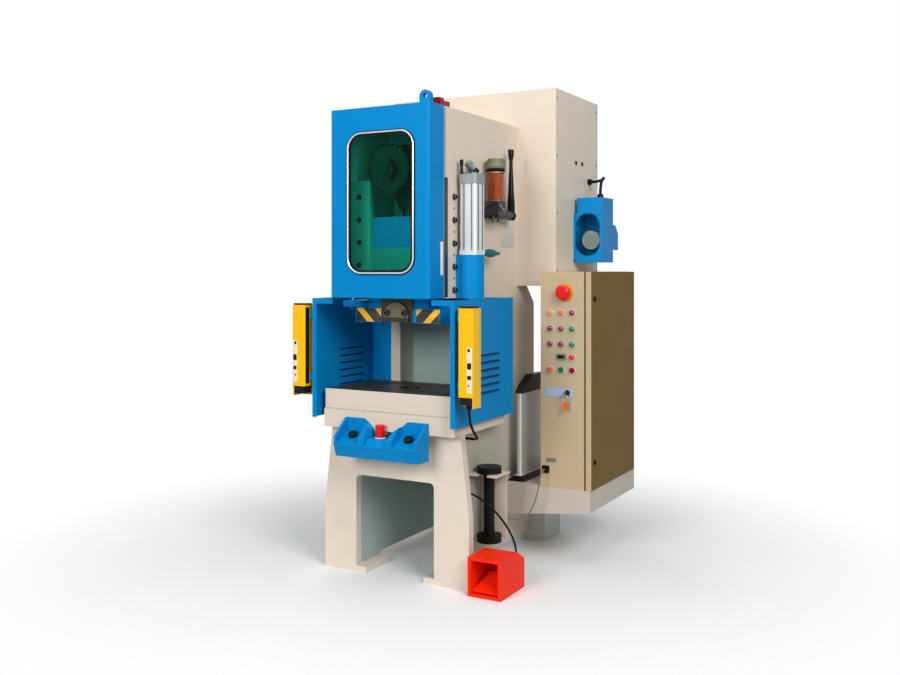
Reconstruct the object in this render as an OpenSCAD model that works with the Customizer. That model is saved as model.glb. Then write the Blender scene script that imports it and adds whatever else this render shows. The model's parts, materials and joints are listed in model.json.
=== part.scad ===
// C-frame eccentric press with a hand-hooded two-button console, a guarded die space,
// a control cabinet on a side bracket and a foot pedal.
// Millimetres. +X is the operator's right, -Y the operator's side, +Z up.
// The origin is the centre of the four floor anchor holes, at floor level.

/* [Frame] */
// Height of the crank box above the throat
box_h = 830; // [800:5:860]
// Width over the two side plates
frame_w = 510; // [490:2:530]
// Thickness of a side plate
plate_t = 52; // [44:1:54]
// Thickness of the front leg plate
front_t = 40; // [25:1:60]
// Distance from the front face to the front anchor holes
anchor_front = 100; // [80:5:120]
// Setback of the crank box behind the front leg plate
upper_setback = 15; // [5:1:20]
// Depth of the lower frame, front to back
lower_depth = 930; // [910:5:960]
// Depth of the shoulder behind the crank box
shoulder_d = 200; // [192:1:230]
// Height of the shoulder above the throat
shoulder_rise = 43; // [20:1:60]
// Height of the bed face above the floor
bed_h = 740; // [700:5:780]
// Thickness of the bed
bed_t = 85; // [60:5:110]
// Width of the bed
bed_w = 674; // [640:2:680]
// Overhang of the bed in front of the leg plate
bed_overhang = 60; // [40:5:70]
// Height of the throat gap
throat_h = 500; // [480:5:520]
// Gap between the bolster plate and the back of the throat
bolster_gap = 35; // [32:1:60]
// Corner radius at the back of the throat
throat_r = 30; // [10:1:31]
// Width of the front legs at the floor
leg_w = 750; // [700:5:780]
// Width of the front plate under the bed
leg_top_w = 668; // [640:2:670]
// Height at which the front legs start to taper
leg_taper_h = 300; // [100:10:500]
// Height of the portal between the front legs
portal_h = 438; // [350:2:480]
// Corner radius of the portal
portal_r = 22; // [5:1:60]
// Thickness of the cross walls
wall_t = 40; // [25:1:50]
// Thickness of the floor pads
pad_t = 25; // [15:1:40]
// Height of the rear foot posts
post_h = 195; // [120:5:199]
// Width over the rear foot posts
post_w = 692; // [650:2:720]
// Depth of a rear foot post
post_d = 192; // [160:2:220]
// Left to right distance of the anchor holes
anchor_pitch_x = 352; // [330:2:370]
// Distance from the back of the lower frame to the rear anchor holes
anchor_rear = 30; // [25:1:45]
// Diameter of an anchor hole
anchor_d = 22; // [14:1:30]

/* [Bolster] */
// Width of the bolster plate
bolster_w = 660; // [620:2:670]
// Depth of the bolster plate
bolster_d = 400; // [380:2:420]
// Thickness of the bolster plate
bolster_t = 88; // [70:1:100]
// Width of a T-slot at the face
slot_w = 22; // [14:1:28]
// Width of a T-slot at its foot
slot_foot_w = 40; // [34:1:50]
// Height of the foot of a T-slot
slot_foot_h = 18; // [12:1:24]
// Depth of a T-slot
slot_depth = 44; // [36:1:56]
// Distance between the two T-slots
slot_pitch = 220; // [180:2:260]
// Diameter of the slug hole
slug_d = 100; // [40:1:120]

/* [Ram and crank] */
// Stroke of the ram
stroke = 60; // [20:1:64]
// Clear height between bolster and ram at the top of the stroke
daylight = 300; // [280:1:320]
// Width of the ram between its guides
ram_w = 316; // [290:2:330]
// Depth of the ram between its guides
ram_d = 220; // [200:2:240]
// Height of the ram body above its flange
ram_h = 408; // [380:1:430]
// Width of the ram flange
flange_w = 442; // [420:1:460]
// Thickness of the ram flange
flange_t = 64; // [50:1:80]
// Depth by which the flange stands out in front of and behind the body
flange_lip = 7; // [2:1:12]
// Diameter of the tool shank bore
shank_d = 40; // [25:1:50]
// Width of the shank clamp
clamp_w = 164; // [150:1:170]
// Height of the shank clamp
clamp_h = 104; // [90:1:110]
// Height of the crankshaft axis above the throat
crank_rise = 540; // [520:1:560]
// Diameter of the main journals
journal_d = 120; // [90:1:130]
// Diameter of the crank pin
pin_d = 100; // [70:1:104]
// Throw of the crank pin itself
pin_throw = 20; // [10:1:25]
// Outside diameter of the eccentric bush
bush_d = 160; // [150:1:170]
// Outside diameter of the connecting rod's big end
big_end_d = 236; // [220:1:250]
// Thickness of the connecting rod
rod_t = 110; // [80:1:130]
// Diameter of the adjusting screw
screw_d = 50; // [36:1:60]
// Diameter of the ball on the adjusting screw
ball_d = 76; // [66:1:80]
// Distance from the eccentric's centre to the ball
rod_length = 480; // [460:1:500]
// Wall of the bronze main bushes
main_bush_t = 16; // [8:1:20]
// Width of the lip of a ram guide
gib_lip = 28; // [15:1:40]
// Height of the ram guides
gib_h = 520; // [460:5:560]

/* [Drive] */
// Diameter of the flywheel
flywheel_d = 790; // [740:2:810]
// Width of the flywheel
flywheel_t = 120; // [90:1:124]
// Diameter of the motor pulley
pulley_d = 120; // [90:1:130]
// Sideways distance of the motor from the crankshaft
motor_offset = 330; // [322:1:340]
// Drop of the motor below the crankshaft
motor_drop = 385; // [370:1:388]
// Diameter of the motor
motor_d = 206; // [180:1:210]
// Length of the motor
motor_l = 284; // [240:2:300]
// Number of belts
belt_count = 3; // [2:1:4]
// Width of a belt
belt_w = 14; // [10:1:17]

/* [Covers] */
// Depth of the front cover
cover_d = 122; // [100:1:130]
// Thickness of the cover sheet
cover_sheet = 4; // [2:0.5:6]
// Width of the window
window_w = 334; // [300:2:360]
// Height of the window
window_h = 608; // [500:2:640]
// Corner radius of the window
window_r = 66; // [30:1:90]
// Height of the window's centre above the throat
window_rise = 414; // [400:1:430]
// Offset of the window to the right of the cover's middle
window_x = 10; // [0:1:15]
// Width of the rubber seal
seal_w = 16; // [14:1:24]
// Width of the rear cover
rear_cover_w = 926; // [890:2:960]
// Depth of the rear cover
rear_cover_d = 560; // [540:2:590]
// Height of the rear cover
rear_cover_h = 960; // [915:5:1000]
// Gap between the rear cover and the shoulder under it
rear_cover_gap = 2; // [1:0.5:5]
// Thickness of the rear cover sheet
rear_sheet = 3; // [2:0.5:4]

/* [Guards] */
// Gap between the bed and the outer face of a guard
guard_gap = 30; // [26:1:40]
// Depth of a side guard
guard_d = 560; // [520:5:580]
// Height of a side guard
guard_h = 536; // [500:2:537]
// Distance by which the guards stand out in front of the bed
guard_lead = 50; // [40:1:60]
// Thickness of the guard sheet
guard_sheet = 3; // [2:0.5:4]
// Number of louvres in a guard
louvre_count = 6; // [3:1:7]
// Length of a louvre
louvre_l = 200; // [120:1:220]
// Width of a light curtain bar
curtain_w = 70; // [50:1:76]
// Depth of a light curtain bar
curtain_d = 65; // [50:1:76]
// Height of the yellow housing of a light curtain
curtain_h = 367; // [320:1:390]
// Distance from a guard to the outer face of its light curtain
curtain_out = 97; // [92:1:108]

/* [Console] */
// Width of the two-hand console
console_w = 426; // [410:2:440]
// Depth of the console in front of the bed
console_d = 102; // [98:1:110]
// Distance from the bed face down to the console's floor
console_drop = 195; // [190:1:215]
// Height of the deck above the bottom of the console
deck_rise = 85; // [82:1:90]
// Height of the hoods above the bottom of the console
hood_rise = 161; // [155:1:170]
// Width of a hood
hood_w = 160; // [150:1:170]
// Diameter of a palm button
palm_d = 42; // [34:1:48]
// Travel of a palm button
palm_travel = 6; // [3:0.5:6]

/* [Cabinet] */
// Width of the cabinet, door included
cabinet_w = 250; // [230:1:260]
// Depth of the cabinet
cabinet_d = 600; // [560:2:640]
// Height of the cabinet
cabinet_h = 1000; // [960:2:1040]
// Distance of the cabinet from the middle of the press
cabinet_x = 470; // [466:1:500]
// Distance of the cabinet front behind the anchor centre
cabinet_y = 33; // [20:1:60]
// Height of the bracket top
bracket_h = 355; // [340:1:380]
// Height of the bracket at its outer end
bracket_end_h = 100; // [60:1:130]
// Thickness of the cabinet sheet
cabinet_sheet = 3; // [2:0.5:4]
// Thickness of the door pan
door_t = 26; // [20:1:34]
// Gap between door and body
door_gap = 2; // [1:0.5:4]
// Diameter of the cut-outs for lamps and buttons
operator_d = 27; // [24:0.2:28]
// Diameter of the emergency stop on the cabinet
estop_d = 66; // [50:1:76]

/* [Pneumatics and lubrication] */
// Side of the balance cylinder's profile
balance_w = 82; // [70:1:84]
// Distance of a balance cylinder from the middle of the press
balance_x = 316; // [312:1:322]
// Bore of the balance cylinder
balance_bore = 63; // [50:1:66]
// Diameter of the balance rod
balance_rod_d = 20; // [14:1:24]
// Length of the profile of the balance cylinder
balance_l = 291; // [270:1:300]
// Diameter of the oil bowl
bowl_d = 82; // [60:1:90]
// Height of the oil bowl
bowl_h = 175; // [140:1:190]
// Length of the pump lever above its axis
lever_l = 315; // [270:1:330]
// Height of the reservoir's aluminium profile
reservoir_h = 390; // [340:1:400]
// Diameter of the flanges of the cable spool
spool_d = 112; // [90:1:116]

/* [Cam switch] */
// Width of the cam switch box
cam_w = 152; // [140:1:160]
// Depth of the cam switch box
cam_d = 159; // [140:1:165]
// Height of the cam switch box
cam_h = 324; // [310:1:340]
// Diameter of the dial disc
dial_d = 94; // [70:1:100]

/* [Foot pedal] */
// Width of the pedal hood
pedal_w = 155; // [140:1:170]
// Depth of the pedal hood
pedal_d = 230; // [210:2:250]
// Height of the pedal hood
pedal_h = 165; // [150:1:180]
// Wall of the pedal hood
pedal_wall = 14; // [11:0.5:18]

/* [Hidden] */
$fn = 64;

// Clearances
eps = 0.01;
running = 0.06;
loose = 0.3;

// Colours
cream = [0.86, 0.82, 0.75];
beige = [0.76, 0.66, 0.52];
blue = [0.02, 0.52, 0.80];
steel = [0.62, 0.64, 0.66];
dark_steel = [0.20, 0.20, 0.20];
bronze = [0.72, 0.52, 0.26];
black = [0.04, 0.04, 0.04];
yellow = [0.98, 0.74, 0.05];
red = [0.85, 0.06, 0.04];
pedal_red = [0.96, 0.18, 0.06];

// Frame lines
half_w = frame_w / 2;
inner = half_w - plate_t;
anchor_pitch_y = lower_depth - anchor_front - anchor_rear;
front_y = -anchor_pitch_y / 2 - anchor_front;
front_in = front_y + front_t;
upper_y = front_y + upper_setback;
lower_back = front_y + lower_depth;
upper_back = lower_back - shoulder_d;
bed_front = front_y - bed_overhang;
ram_y = bed_front + bolster_d / 2;
throat_y = bed_front + bolster_d + bolster_gap;
upper_h = bed_h + throat_h;
frame_h = upper_h + box_h;
shoulder_h = upper_h + shoulder_rise;
crank_h = upper_h + crank_rise;
shoulder_c = 85;
top_t = 30;
bearing_t = 60;
bearing_y = ram_y + ram_d / 2 + 20;
rear_bearing_y = upper_back - bearing_t;
shelf_h = upper_h + 260;
pad_inset = 53;
pad_d = 200;
post_y = lower_back - 65;
relief_h = 20;
rear_plate_h = 200;
slug_clear = 20;
wall_set = 110;
bed_groove = 4;
throat_span = 800;
arm_l = 45;
hinge_slack = 0.5;
motor_plate_w = 120;
motor_plate_grip = 140;

// Ram lines, at the top of the stroke
throw = stroke / 2;
bolster_top = bed_h + bolster_t;
ram_bottom = bolster_top + daylight;
body_bottom = ram_bottom + flange_t;
ram_front = ram_y - ram_d / 2;
ram_back = ram_y + ram_d / 2;
flange_front = ram_front - flange_lip;
flange_back = ram_back + flange_lip;
ear_t = 30;
ear_w = 70;
ear_top = body_bottom + ear_t;
ecc_z = crank_h + throw;
pin_z = crank_h + pin_throw;
ball_z = ecc_z - rod_length;
slip = 0.211 * throw;
pocket_x = ball_d / 2 + throw + 4;
pocket_y = ball_d / 2 + 6;
pocket_floor = ball_z - ball_d / 2 - slip - 1;
clamp_lift = 4;
clamp_gap = 1;
clamp_front = flange_front - 1;
clamp_bolt_x = 46;
clamp_bolt_z = ram_bottom + 44;
clamp_bolt_r = 7;
socket_r = screw_d / 2 + 13;
rod_neck = 60;
rod_cheek = 30;
collar_drop = 40;
collar_t = 22;
collar_lip = 8;
socket_top = ecc_z - 110;
socket_bottom = ball_z + 190;
screw_top = socket_bottom + 120;
web_t = 28;
web_r = 100;
rod_front = ram_y - rod_t / 2;
rod_back = ram_y + rod_t / 2;
dog_t = 16;
dog_r = bush_d / 2 + 15;
nut_t = 40;
main_r = journal_d / 2;
seat_r = main_r + main_bush_t;
bush_flange = 14;
bush_flange_t = 10;
rod_play = 1;
stud_r = 30;
nut_r_big = 54;
dog_step = 15;
drum_l = 135;
drum_t = 40;
drum_r = bush_d / 2 + 28;
boss_t = 10;
boss_r = clamp_w / 2 - 16;
boss_z = ram_bottom + 24;
slide_gap = 0.1;
keeper_t = 15;
gib_bottom = upper_h + 5;

// Drive lines
fly_y = upper_back + 70;
fly_r = flywheel_d / 2;
fly_shaft_r = main_r - 5;
hub_r = 112;
rim_t = 75;
web_plate = 40;
motor_x = -motor_offset;
motor_z = crank_h - motor_drop;
motor_plate_t = 16;
motor_y = lower_back + motor_plate_t;
motor_shaft_r = 19;
spigot_r = 60;
pulley_r = pulley_d / 2;
groove_d = 11;
belt_gap = 0.6;
belt_t = 13;
belt_pitch = 30;
bearing_run = 40;
clutch_gap = 6;
clutch_t = 46;
clutch_r = 150;
shaft_grip = 40;
motor_flange = 14;
motor_cowl = 70;
fin_step = 15;
motor_gap = sqrt(motor_offset * motor_offset + motor_drop * motor_drop);
belt_lean = acos((fly_r - pulley_r) / motor_gap);
belt_way = atan2(-motor_drop, -motor_offset);

// Cover lines
cover_back = upper_y - 19;
cover_front = cover_back - cover_d;
cover_bottom = upper_h + 1;
cover_bend = 12;
window_z = upper_h + window_rise;
rear_cover_bottom = shoulder_h + rear_cover_gap;
rear_cover_top = rear_cover_bottom + rear_cover_h;
hinge_x = -half_w - 8;
hinge_y = cover_back - 6;
hinge_pin_r = 5;
knuckle_r = 9;
knuckle_h = 40;
nose_r = 7.5;
arm_h = 20;
hinge_heights = [cover_bottom + 110, frame_h - 170];
lug_x = 195;
lug_w = 54;
lug_h = 66;
lug_y = cover_back - 60;
lug_t = 26;
switch_w = 50;
switch_y = upper_y + 12;
switch_l = 84;
switch_h = 46;
pane_t = 4;
seal_proud = 5;
seal_lap = 4;
cover_lap = 20;
vent_rows = 5;
vent_x = 230;
vent_z = upper_h + 460;
vent_pitch = 40;
vent_w = 180;
vent_h = 14;
vent_r = 6;

// Guard lines
guard_x = bed_w / 2 + guard_gap;
guard_top = upper_h - 4;
guard_bottom = guard_top - guard_h;
guard_y = bed_front - guard_lead;
guard_back = guard_y + guard_d;
guard_fold = 22;
strap_h = 24;
louvre_y = guard_y + 210;
louvre_z = guard_bottom + 123;
louvre_pitch = 33;
louvre_h = 10;
louvre_out = 7;
louvre_drop = 2;
flange_y = throat_y + 4;
curtain_x = guard_x + curtain_out;
curtain_in = curtain_x - curtain_w;
curtain_y = guard_y - 22;
curtain_top = guard_top - 31;
curtain_bottom = curtain_top - curtain_h;
curtain_cap = 7;
curtain_foot = 33;
lens_y = curtain_y + 8;
lens_w = 24;
lens_t = 1.5;
arm_y = curtain_y + 40;
arm_d = 20;
arm_w = 30;
arm_inset = 30;
lens_inset = 12;
curtain_edge = 6;
skirt_t = 6;
skirt_h = 44;
skirt_lip = 14;

// Console lines
console_x = console_w / 2;
console_h = bed_h - console_drop;
console_front = bed_front - console_d;
deck_z = console_h + deck_rise;
hood_z = console_h + hood_rise;
ridge_z = console_h + 56;
console_arm = 90;
cheek_in = 35;
cheek_out = 14;
hood_rear = bed_front - loose;
hood_back = hood_rear - 12;
floor_tilt = 25;
palm_x = console_x - cheek_out - (hood_w - cheek_in - cheek_out) / 2;
palm_y = console_front + 55;
palm_z = deck_z;
palm_stem_r = 10;
palm_lift = palm_travel + 2;
palm_cap_h = 13;
bore_depth = 32;
stem_l = 20;
stop_x = -18;
stop_y = bed_front - 26;
stop_r = 21;
stop_cap_h = 50;
stop_travel = 5;
stop_lift = stop_travel + 3;

// Cabinet lines
cabinet_z = bracket_h;
cabinet_top = cabinet_z + cabinet_h;
cabinet_back = cabinet_y + cabinet_d;
cabinet_out = cabinet_x + cabinet_w;
door_x = cabinet_out - door_t;
body_out = door_x - door_gap;
rim = 18;
door_hinge_x = door_x + 8;
door_hinge_y = cabinet_back + 8;
door_pin_r = 4;
door_hinge_heights = [cabinet_z + 150, cabinet_z + 470, cabinet_z + 790];
column_x = [cabinet_x + 50, cabinet_x + 104, cabinet_x + 158];
row_z = [cabinet_z + 811, cabinet_z + 737, cabinet_z + 666, cabinet_z + 608, cabinet_z + 547];
lamp_spots = [
  for (r = [0 : 2], c = [0 : 2]) [column_x[c], row_z[r]],
  [column_x[2], row_z[3]]
];
selector_spot = [column_x[0], row_z[4]];
start_spot = [column_x[1], row_z[4]];
stop_spot = [column_x[2], row_z[4]];
key_spot = [cabinet_x + 134, cabinet_z + 442];
estop_spot = [cabinet_x + 120, cabinet_z + 904];
button_spots = [selector_spot, start_spot, stop_spot];
operator_r = operator_d / 2;
bezel_r = operator_r + 4;
bezel_t = 5;
button_travel = 4;
plate_edge = 2;
gear_x = cabinet_x + 12;
lock_heights = [cabinet_z + 125, cabinet_z + 875];
lock_y = cabinet_y + 45;
lock_r = 12;
bracket_root = 155;
bracket_sheet = 6;
bracket_over = 12;
door_edge = 1;
lock_t = 4;
lamp_depth = 45;
counter_w = 44;
counter_h = 26;
counter_t = 8;
key_plate_w = 137;
key_plate_h = 40;
key_side = 42;
blank_spot = [cabinet_x + 52, cabinet_z + 126];
blank_w = 48;
blank_h = 18;
estop_lift = 14;
estop_head = 26;
key_l = 14;
key_t = 3;
key_bow = 26;
key_ring_r = 13;
tag_w = 22;
tag_l = 44;
gear_margin = 50;
gear_inset = 90;
gear_rows = 5;
gear_units = 6;
duct_w = 40;

// Balance, pump and other side equipment
balance_z = upper_h + 189;
balance_base = 20;
balance_head = 43;
balance_top = balance_z + balance_base + balance_l;
tube_r = 54;
bracket_half = 38;
piston_h = 24;
piston_drop = 12;
thread_r = 8;
nut_r = 14;
silencer_r = 19;
silencer_neck = 8;
silencer_stem = 73;
bulb_l = 118;
silencer_l = 143;
balance_corner = 8;
balance_cap_w = balance_w + 6;
groove_w = 6;
groove_deep = 4;
elbow_h = 40;
elbow_r = 14;
outlet_r = 6;
lever_pin_l = 34;
pump_y = ram_y + 242;
pump_z = upper_h + 362;
pump_h = 74;
pump_back = pump_y + 157;
bowl_z = pump_z + pump_h;
bowl_x = half_w + 56;
lever_x = half_w + 48;
lever_y = pump_back + 3;
lever_z = pump_z + 20;
lever_t = 38;
lever_hub_r = 19;
grip_r = 17;
grip_l = 60;
lever_r = 9;
knob_r = 14;
knob_l = 26;
lever_pin_r = 9;
reservoir_x = half_w + 78;
reservoir_y = 85;
reservoir_w = 28;
reservoir_d = 265;
reservoir_foot = 28;
spool_x = half_w + 72;
spool_y = front_in + 244;
spool_core_r = 25;
spool_bottom = 138;
spool_flange = 32;
spool_back = spool_y + spool_d / 2 + 3;
reservoir_cap = 80;
spool_shelf = 441;
shelf_t = 7;
spool_top = spool_shelf + shelf_t + 29;

// Cam switch lines
cam_x = rear_cover_w / 2;
cam_y = upper_back + 224;
cam_z = cabinet_top + 46;
cam_wall = 6;
cam_notch = 19;
cam_notch_h = 75;
cam_back = cam_y + cam_d;
dial_x = cam_x + 88;
dial_z = cam_z + 112;
dial_shaft_r = 8;
glass_w = cam_w - 24;
glass_h = cam_h - cam_notch_h - 34;
glass_x = cam_x + cam_w / 2;
cam_pitch = 28;
glass_z = cam_z + 32 + glass_h / 2;

// Pedal lines
pedal_x = 400;
pedal_front = bed_front;
pedal_back = pedal_front + pedal_d;
pedal_base = 12;
treadle_y = pedal_front + 22;
treadle_z = pedal_base + 14;
treadle_l = 145;
treadle_rise = 15;
treadle_t = 8;
treadle_pin_r = 4;
treadle_w = pedal_w - 2 * pedal_wall - 14;
pin_cover = 5;
rib_pitch = 18;
pedal_back_h = 124;
pedal_slope = 70;

// Cord routes, from gland to gland: each end and the pull along it
pedal_cord_d = 9;
curtain_cord_d = 11;
link_cord_d = 7;
hose_d = 15;
gland_l = 20;
gland_r = 13;
gland_nut = 8;
plug_w = 34;
stub = 6;
port_x = half_w + gland_l;
pedal_port = [port_x, front_in + 50, 400];
pedal_plug = [pedal_x + pedal_w / 2, pedal_back + gland_l, 84];
pedal_pull = [170, 190];
curtain_port = [port_x, front_in + 100, bed_h - 120];
curtain_plug = [curtain_x - curtain_w / 2, curtain_y + curtain_d / 2,
        curtain_bottom - curtain_foot - gland_l];
curtain_pull = [120, 120];
link_port = [port_x, front_in + 330, 290];
link_plug = [cabinet_x + 27, cabinet_y - gland_l, cabinet_z + 82];
link_low = [392, -86, 216];
link_way = [-50, -24, 0];
link_pull = [70, 60];
hose_port = [cam_x + gland_l, cam_y + 206, cam_z + 421];
hose_plug = [cam_x + 123, cam_y + 54, cam_z + cam_h + gland_l];
hose_pull = [100, 120];

// Profile carried along X: the outline's axes are Y and Z
module along_x(x, len) {
  translate([x, 0, 0]) rotate([90, 0, 90]) linear_extrude(len) children();
}

// Profile carried along Y: the outline's axes are X and Z
module along_y(y, len) {
  translate([0, y + len, 0]) rotate([90, 0, 0]) linear_extrude(len) children();
}

// Profile carried along Z: the outline's axes are X and Y
module along_z(z, len) {
  translate([0, 0, z]) linear_extrude(len) children();
}

// Round bar along X, Y or Z from one end
module bar_x(x, len, r, y, z) {
  translate([x, y, z]) rotate([0, 90, 0]) cylinder(h = len, r = r);
}

module bar_y(y, len, r, x, z) {
  translate([x, y, z]) rotate([-90, 0, 0]) cylinder(h = len, r = r);
}

module bar_z(z, len, r, x, y) {
  translate([x, y, z]) cylinder(h = len, r = r);
}

// Box between two corners
module block(low, high) {
  translate(low) cube(high - low);
}

// Rectangle with round corners about the origin
module round_rect(w, h, r) {
  square([w - 2 * r, h], center = true);
  square([w, h - 2 * r], center = true);
  for (x = [-1, 1], y = [-1, 1])
    translate([x * (w / 2 - r), y * (h / 2 - r)]) circle(r);
}

// The same shape on the right and on the left
module both_sides() {
  children();
  mirror([1, 0, 0]) children();
}

// Unit vector
function unit(v) = v / norm(v);

// Points from p to q that leave p along a and q along b, with a short straight stub at each end
function bend(p, a, b, q, n) =
  let (p1 = p + stub * unit(a), q1 = q + stub * unit(b))
  concat(
    [p],
    [for (i = [0 : n]) let (t = i / n, u = 1 - t)
      u * u * (u * p1 + 3 * t * (p1 + a)) + t * t * (3 * u * (q1 + b) + t * q1)],
    [q]
  );

// Direction of a route at point i
function route_way(p, i) = unit(p[min(i + 1, len(p) - 1)] - p[max(i - 1, 0)]);

// Sideways direction of a route at point i, carried along so that the tube doesn't twist
function route_side(p, i, seed) =
  let (t = route_way(p, i), s = i == 0 ? seed : route_side(p, i - 1, seed))
  unit(s - (s * t) * t);

// Plain tube along a route, closed at both ends
module cord(p, d, seed, sides = 10) {
  n = len(p);
  rings = [
    for (i = [0 : n - 1])
      let (t = route_way(p, i), s = route_side(p, i, seed), c = cross(t, s))
      for (k = [0 : sides - 1])
        p[i] + d / 2 * (cos(360 * k / sides) * s + sin(360 * k / sides) * c)
  ];
  walls = [
    for (i = [0 : n - 2], k = [0 : sides - 1])
      let (a = i * sides + k, b = i * sides + (k + 1) % sides)
      each [[a, b, b + sides], [a, b + sides, a + sides]]
  ];
  ends = [
    [for (k = [0 : sides - 1]) sides - 1 - k],
    [for (k = [0 : sides - 1]) (n - 1) * sides + k]
  ];
  polyhedron(rings, [for (f = concat(walls, ends)) [for (k = [len(f) - 1 : -1 : 0]) f[k]]]);
}

// Outline of a side plate, with the throat cut out of its front
module side_profile() {
  difference() {
    polygon([
      [front_in, pad_t], [lower_back, pad_t], [lower_back, shoulder_h - shoulder_c],
      [lower_back - shoulder_c, shoulder_h], [upper_back, shoulder_h],
      [upper_back, frame_h], [upper_y, frame_h], [upper_y, bed_h], [front_in, bed_h]
    ]);
    translate([throat_y - throat_span / 2, bed_h + throat_h / 2])
      round_rect(throat_span, throat_h, throat_r);
    translate([front_y + pad_d, pad_t - eps])
      square([post_y - front_y - pad_d, relief_h]);
  }
}

// Outline of the front leg plate with its portal
module front_profile() {
  difference() {
    polygon([
      [-leg_w / 2, 0], [leg_w / 2, 0], [leg_w / 2, leg_taper_h],
      [leg_top_w / 2, bed_h - bed_t], [-leg_top_w / 2, bed_h - bed_t],
      [-leg_w / 2, leg_taper_h]
    ]);
    translate([-inner, -eps]) square([2 * inner, portal_h - portal_r + eps]);
    translate([portal_r - inner, -eps]) square([2 * (inner - portal_r), portal_h + eps]);
    for (x = [portal_r - inner, inner - portal_r])
      translate([x, portal_h - portal_r]) circle(portal_r);
  }
}

// Walls that tie the two side plates together
module cross_walls() {
  back = throat_y + wall_set;
  block([-inner, throat_y, bed_h - bed_t], [inner, back + eps, bed_h]);
  block([-inner, back, bed_h - bed_t], [inner, back + wall_t, shelf_h]);
  block([-inner, bearing_y, shelf_h - top_t], [inner, back + eps, shelf_h]);
  block([-inner, bearing_y, shelf_h - top_t], [inner, bearing_y + bearing_t, frame_h]);
  block([-inner, rear_bearing_y, shoulder_h - 2 * top_t], [inner, upper_back, frame_h]);
  block([-inner, upper_y, frame_h - top_t], [inner, upper_back, frame_h]);
  block([-inner, lower_back - wall_t, rear_plate_h],
          [inner, lower_back, shoulder_h - shoulder_c]);
}

// Floor pads and rear post of the right side
module floor_pads() {
  block([inner - pad_inset, front_y, 0], [half_w, front_y + pad_d, pad_t]);
  block([inner - pad_inset, post_y, 0], [post_w / 2, post_y + post_d, pad_t]);
  block([inner, post_y, 0], [post_w / 2, post_y + post_d, post_h]);
}

// Lift-off hinge arms of the front cover, with their pins
module cover_hinge_arms() {
  for (z = hinge_heights) {
    block([hinge_x - nose_r, hinge_y, z], [-half_w - hinge_slack, upper_y, z + arm_h]);
    block([hinge_x - nose_r, upper_y - eps, z], [eps - half_w, upper_y + arm_l, z + arm_h]);
    bar_z(z, arm_h, nose_r, hinge_x, hinge_y);
    bar_z(z, arm_h + knuckle_h, hinge_pin_r, hinge_x, hinge_y);
  }
}

// Shelf with an open slot that the cable spool hangs in
module spool_shelf_plate() {
  slot_r = spool_core_r + loose;
  difference() {
    block([half_w - eps, spool_y - spool_d / 2 - 18, spool_shelf],
              [spool_x + spool_d / 2 + 17, spool_back + shelf_t, spool_shelf + shelf_t]);
    bar_z(spool_shelf - eps, shelf_t + 2 * eps, slot_r, spool_x, spool_y);
    block([spool_x - slot_r, spool_y - spool_d, spool_shelf - eps],
              [spool_x + slot_r, spool_y, spool_shelf + shelf_t + eps]);
  }
  block([half_w - eps, spool_back, spool_bottom + shelf_t],
          [spool_x + spool_d / 2 + 2, spool_back + shelf_t, spool_shelf + eps]);
}

// Plate behind the flywheel that carries the motor
module motor_plate() {
  difference() {
    block([motor_x - motor_plate_w, lower_back - eps, shoulder_h - shoulder_c - motor_plate_grip],
              [-inner, motor_y, motor_z + motor_plate_w]);
    bar_y(lower_back - 1, motor_plate_t + 2, spigot_r + loose, motor_x, motor_z);
  }
}

module frame() {
  color(cream) {
    difference() {
      union() {
        both_sides() along_x(inner, plate_t) side_profile();
        along_y(front_y, front_t) front_profile();
        block([-bed_w / 2, bed_front, bed_h - bed_t], [bed_w / 2, throat_y + wall_t, bed_h]);
        cross_walls();
        both_sides() floor_pads();
      }
      block([-bed_w, bed_front - 1, bed_h - bed_groove], [bed_w, bed_front + bed_groove, bed_h + 1]);
      bar_z(bed_h - bed_t - 1, bed_t + 2, slug_d / 2 + slug_clear, 0, ram_y);
      bar_y(bearing_y - 1, bearing_t + 2, seat_r, 0, crank_h);
      bar_y(rear_bearing_y - 1, bearing_t + 2, seat_r, 0, crank_h);
      for (x = [-1, 1], y = [-1, 1])
        bar_z(-1, pad_t + 2, anchor_d / 2, x * anchor_pitch_x / 2, y * anchor_pitch_y / 2);
    }
    cover_hinge_arms();
    spool_shelf_plate();
    motor_plate();
  }
}

// Section of one T-slot, with its mouth at the top
module slot_profile() {
  translate([-slot_w / 2, -slot_depth]) square([slot_w, slot_depth + 1]);
  translate([-slot_foot_w / 2, -slot_depth]) square([slot_foot_w, slot_foot_h]);
}

module bolster_plate() {
  color(dark_steel) difference() {
    block([-bolster_w / 2, bed_front, bed_h], [bolster_w / 2, bed_front + bolster_d, bolster_top]);
    for (y = [-slot_pitch / 2, slot_pitch / 2])
      along_x(-bolster_w / 2 - 1, bolster_w + 2)
        translate([ram_y + y, bolster_top]) slot_profile();
    bar_z(bed_h - 1, bolster_t + 2, slug_d / 2, 0, ram_y);
  }
}

module flywheel_cover() {
  x = rear_cover_w / 2;
  back = upper_back + rear_cover_d;
  color(cream) difference() {
    block([-x, upper_back, rear_cover_bottom], [x, back, rear_cover_top]);
    block([rear_sheet - x, upper_back + rear_sheet, rear_cover_bottom - 1],
              [x - rear_sheet, back - rear_sheet, rear_cover_top - rear_sheet]);
    block([cover_lap - half_w, upper_back - 1, rear_cover_bottom - 1],
              [half_w - cover_lap, upper_back + rear_sheet + 1, frame_h - cover_lap]);
    for (i = [0 : vent_rows - 1], s = [-1, 1])
      translate([s * vent_x, 0, vent_z + i * vent_pitch])
        along_y(back - rear_sheet - 1, rear_sheet + 2) round_rect(vent_w, vent_h, vent_r);
  }
}

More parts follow.
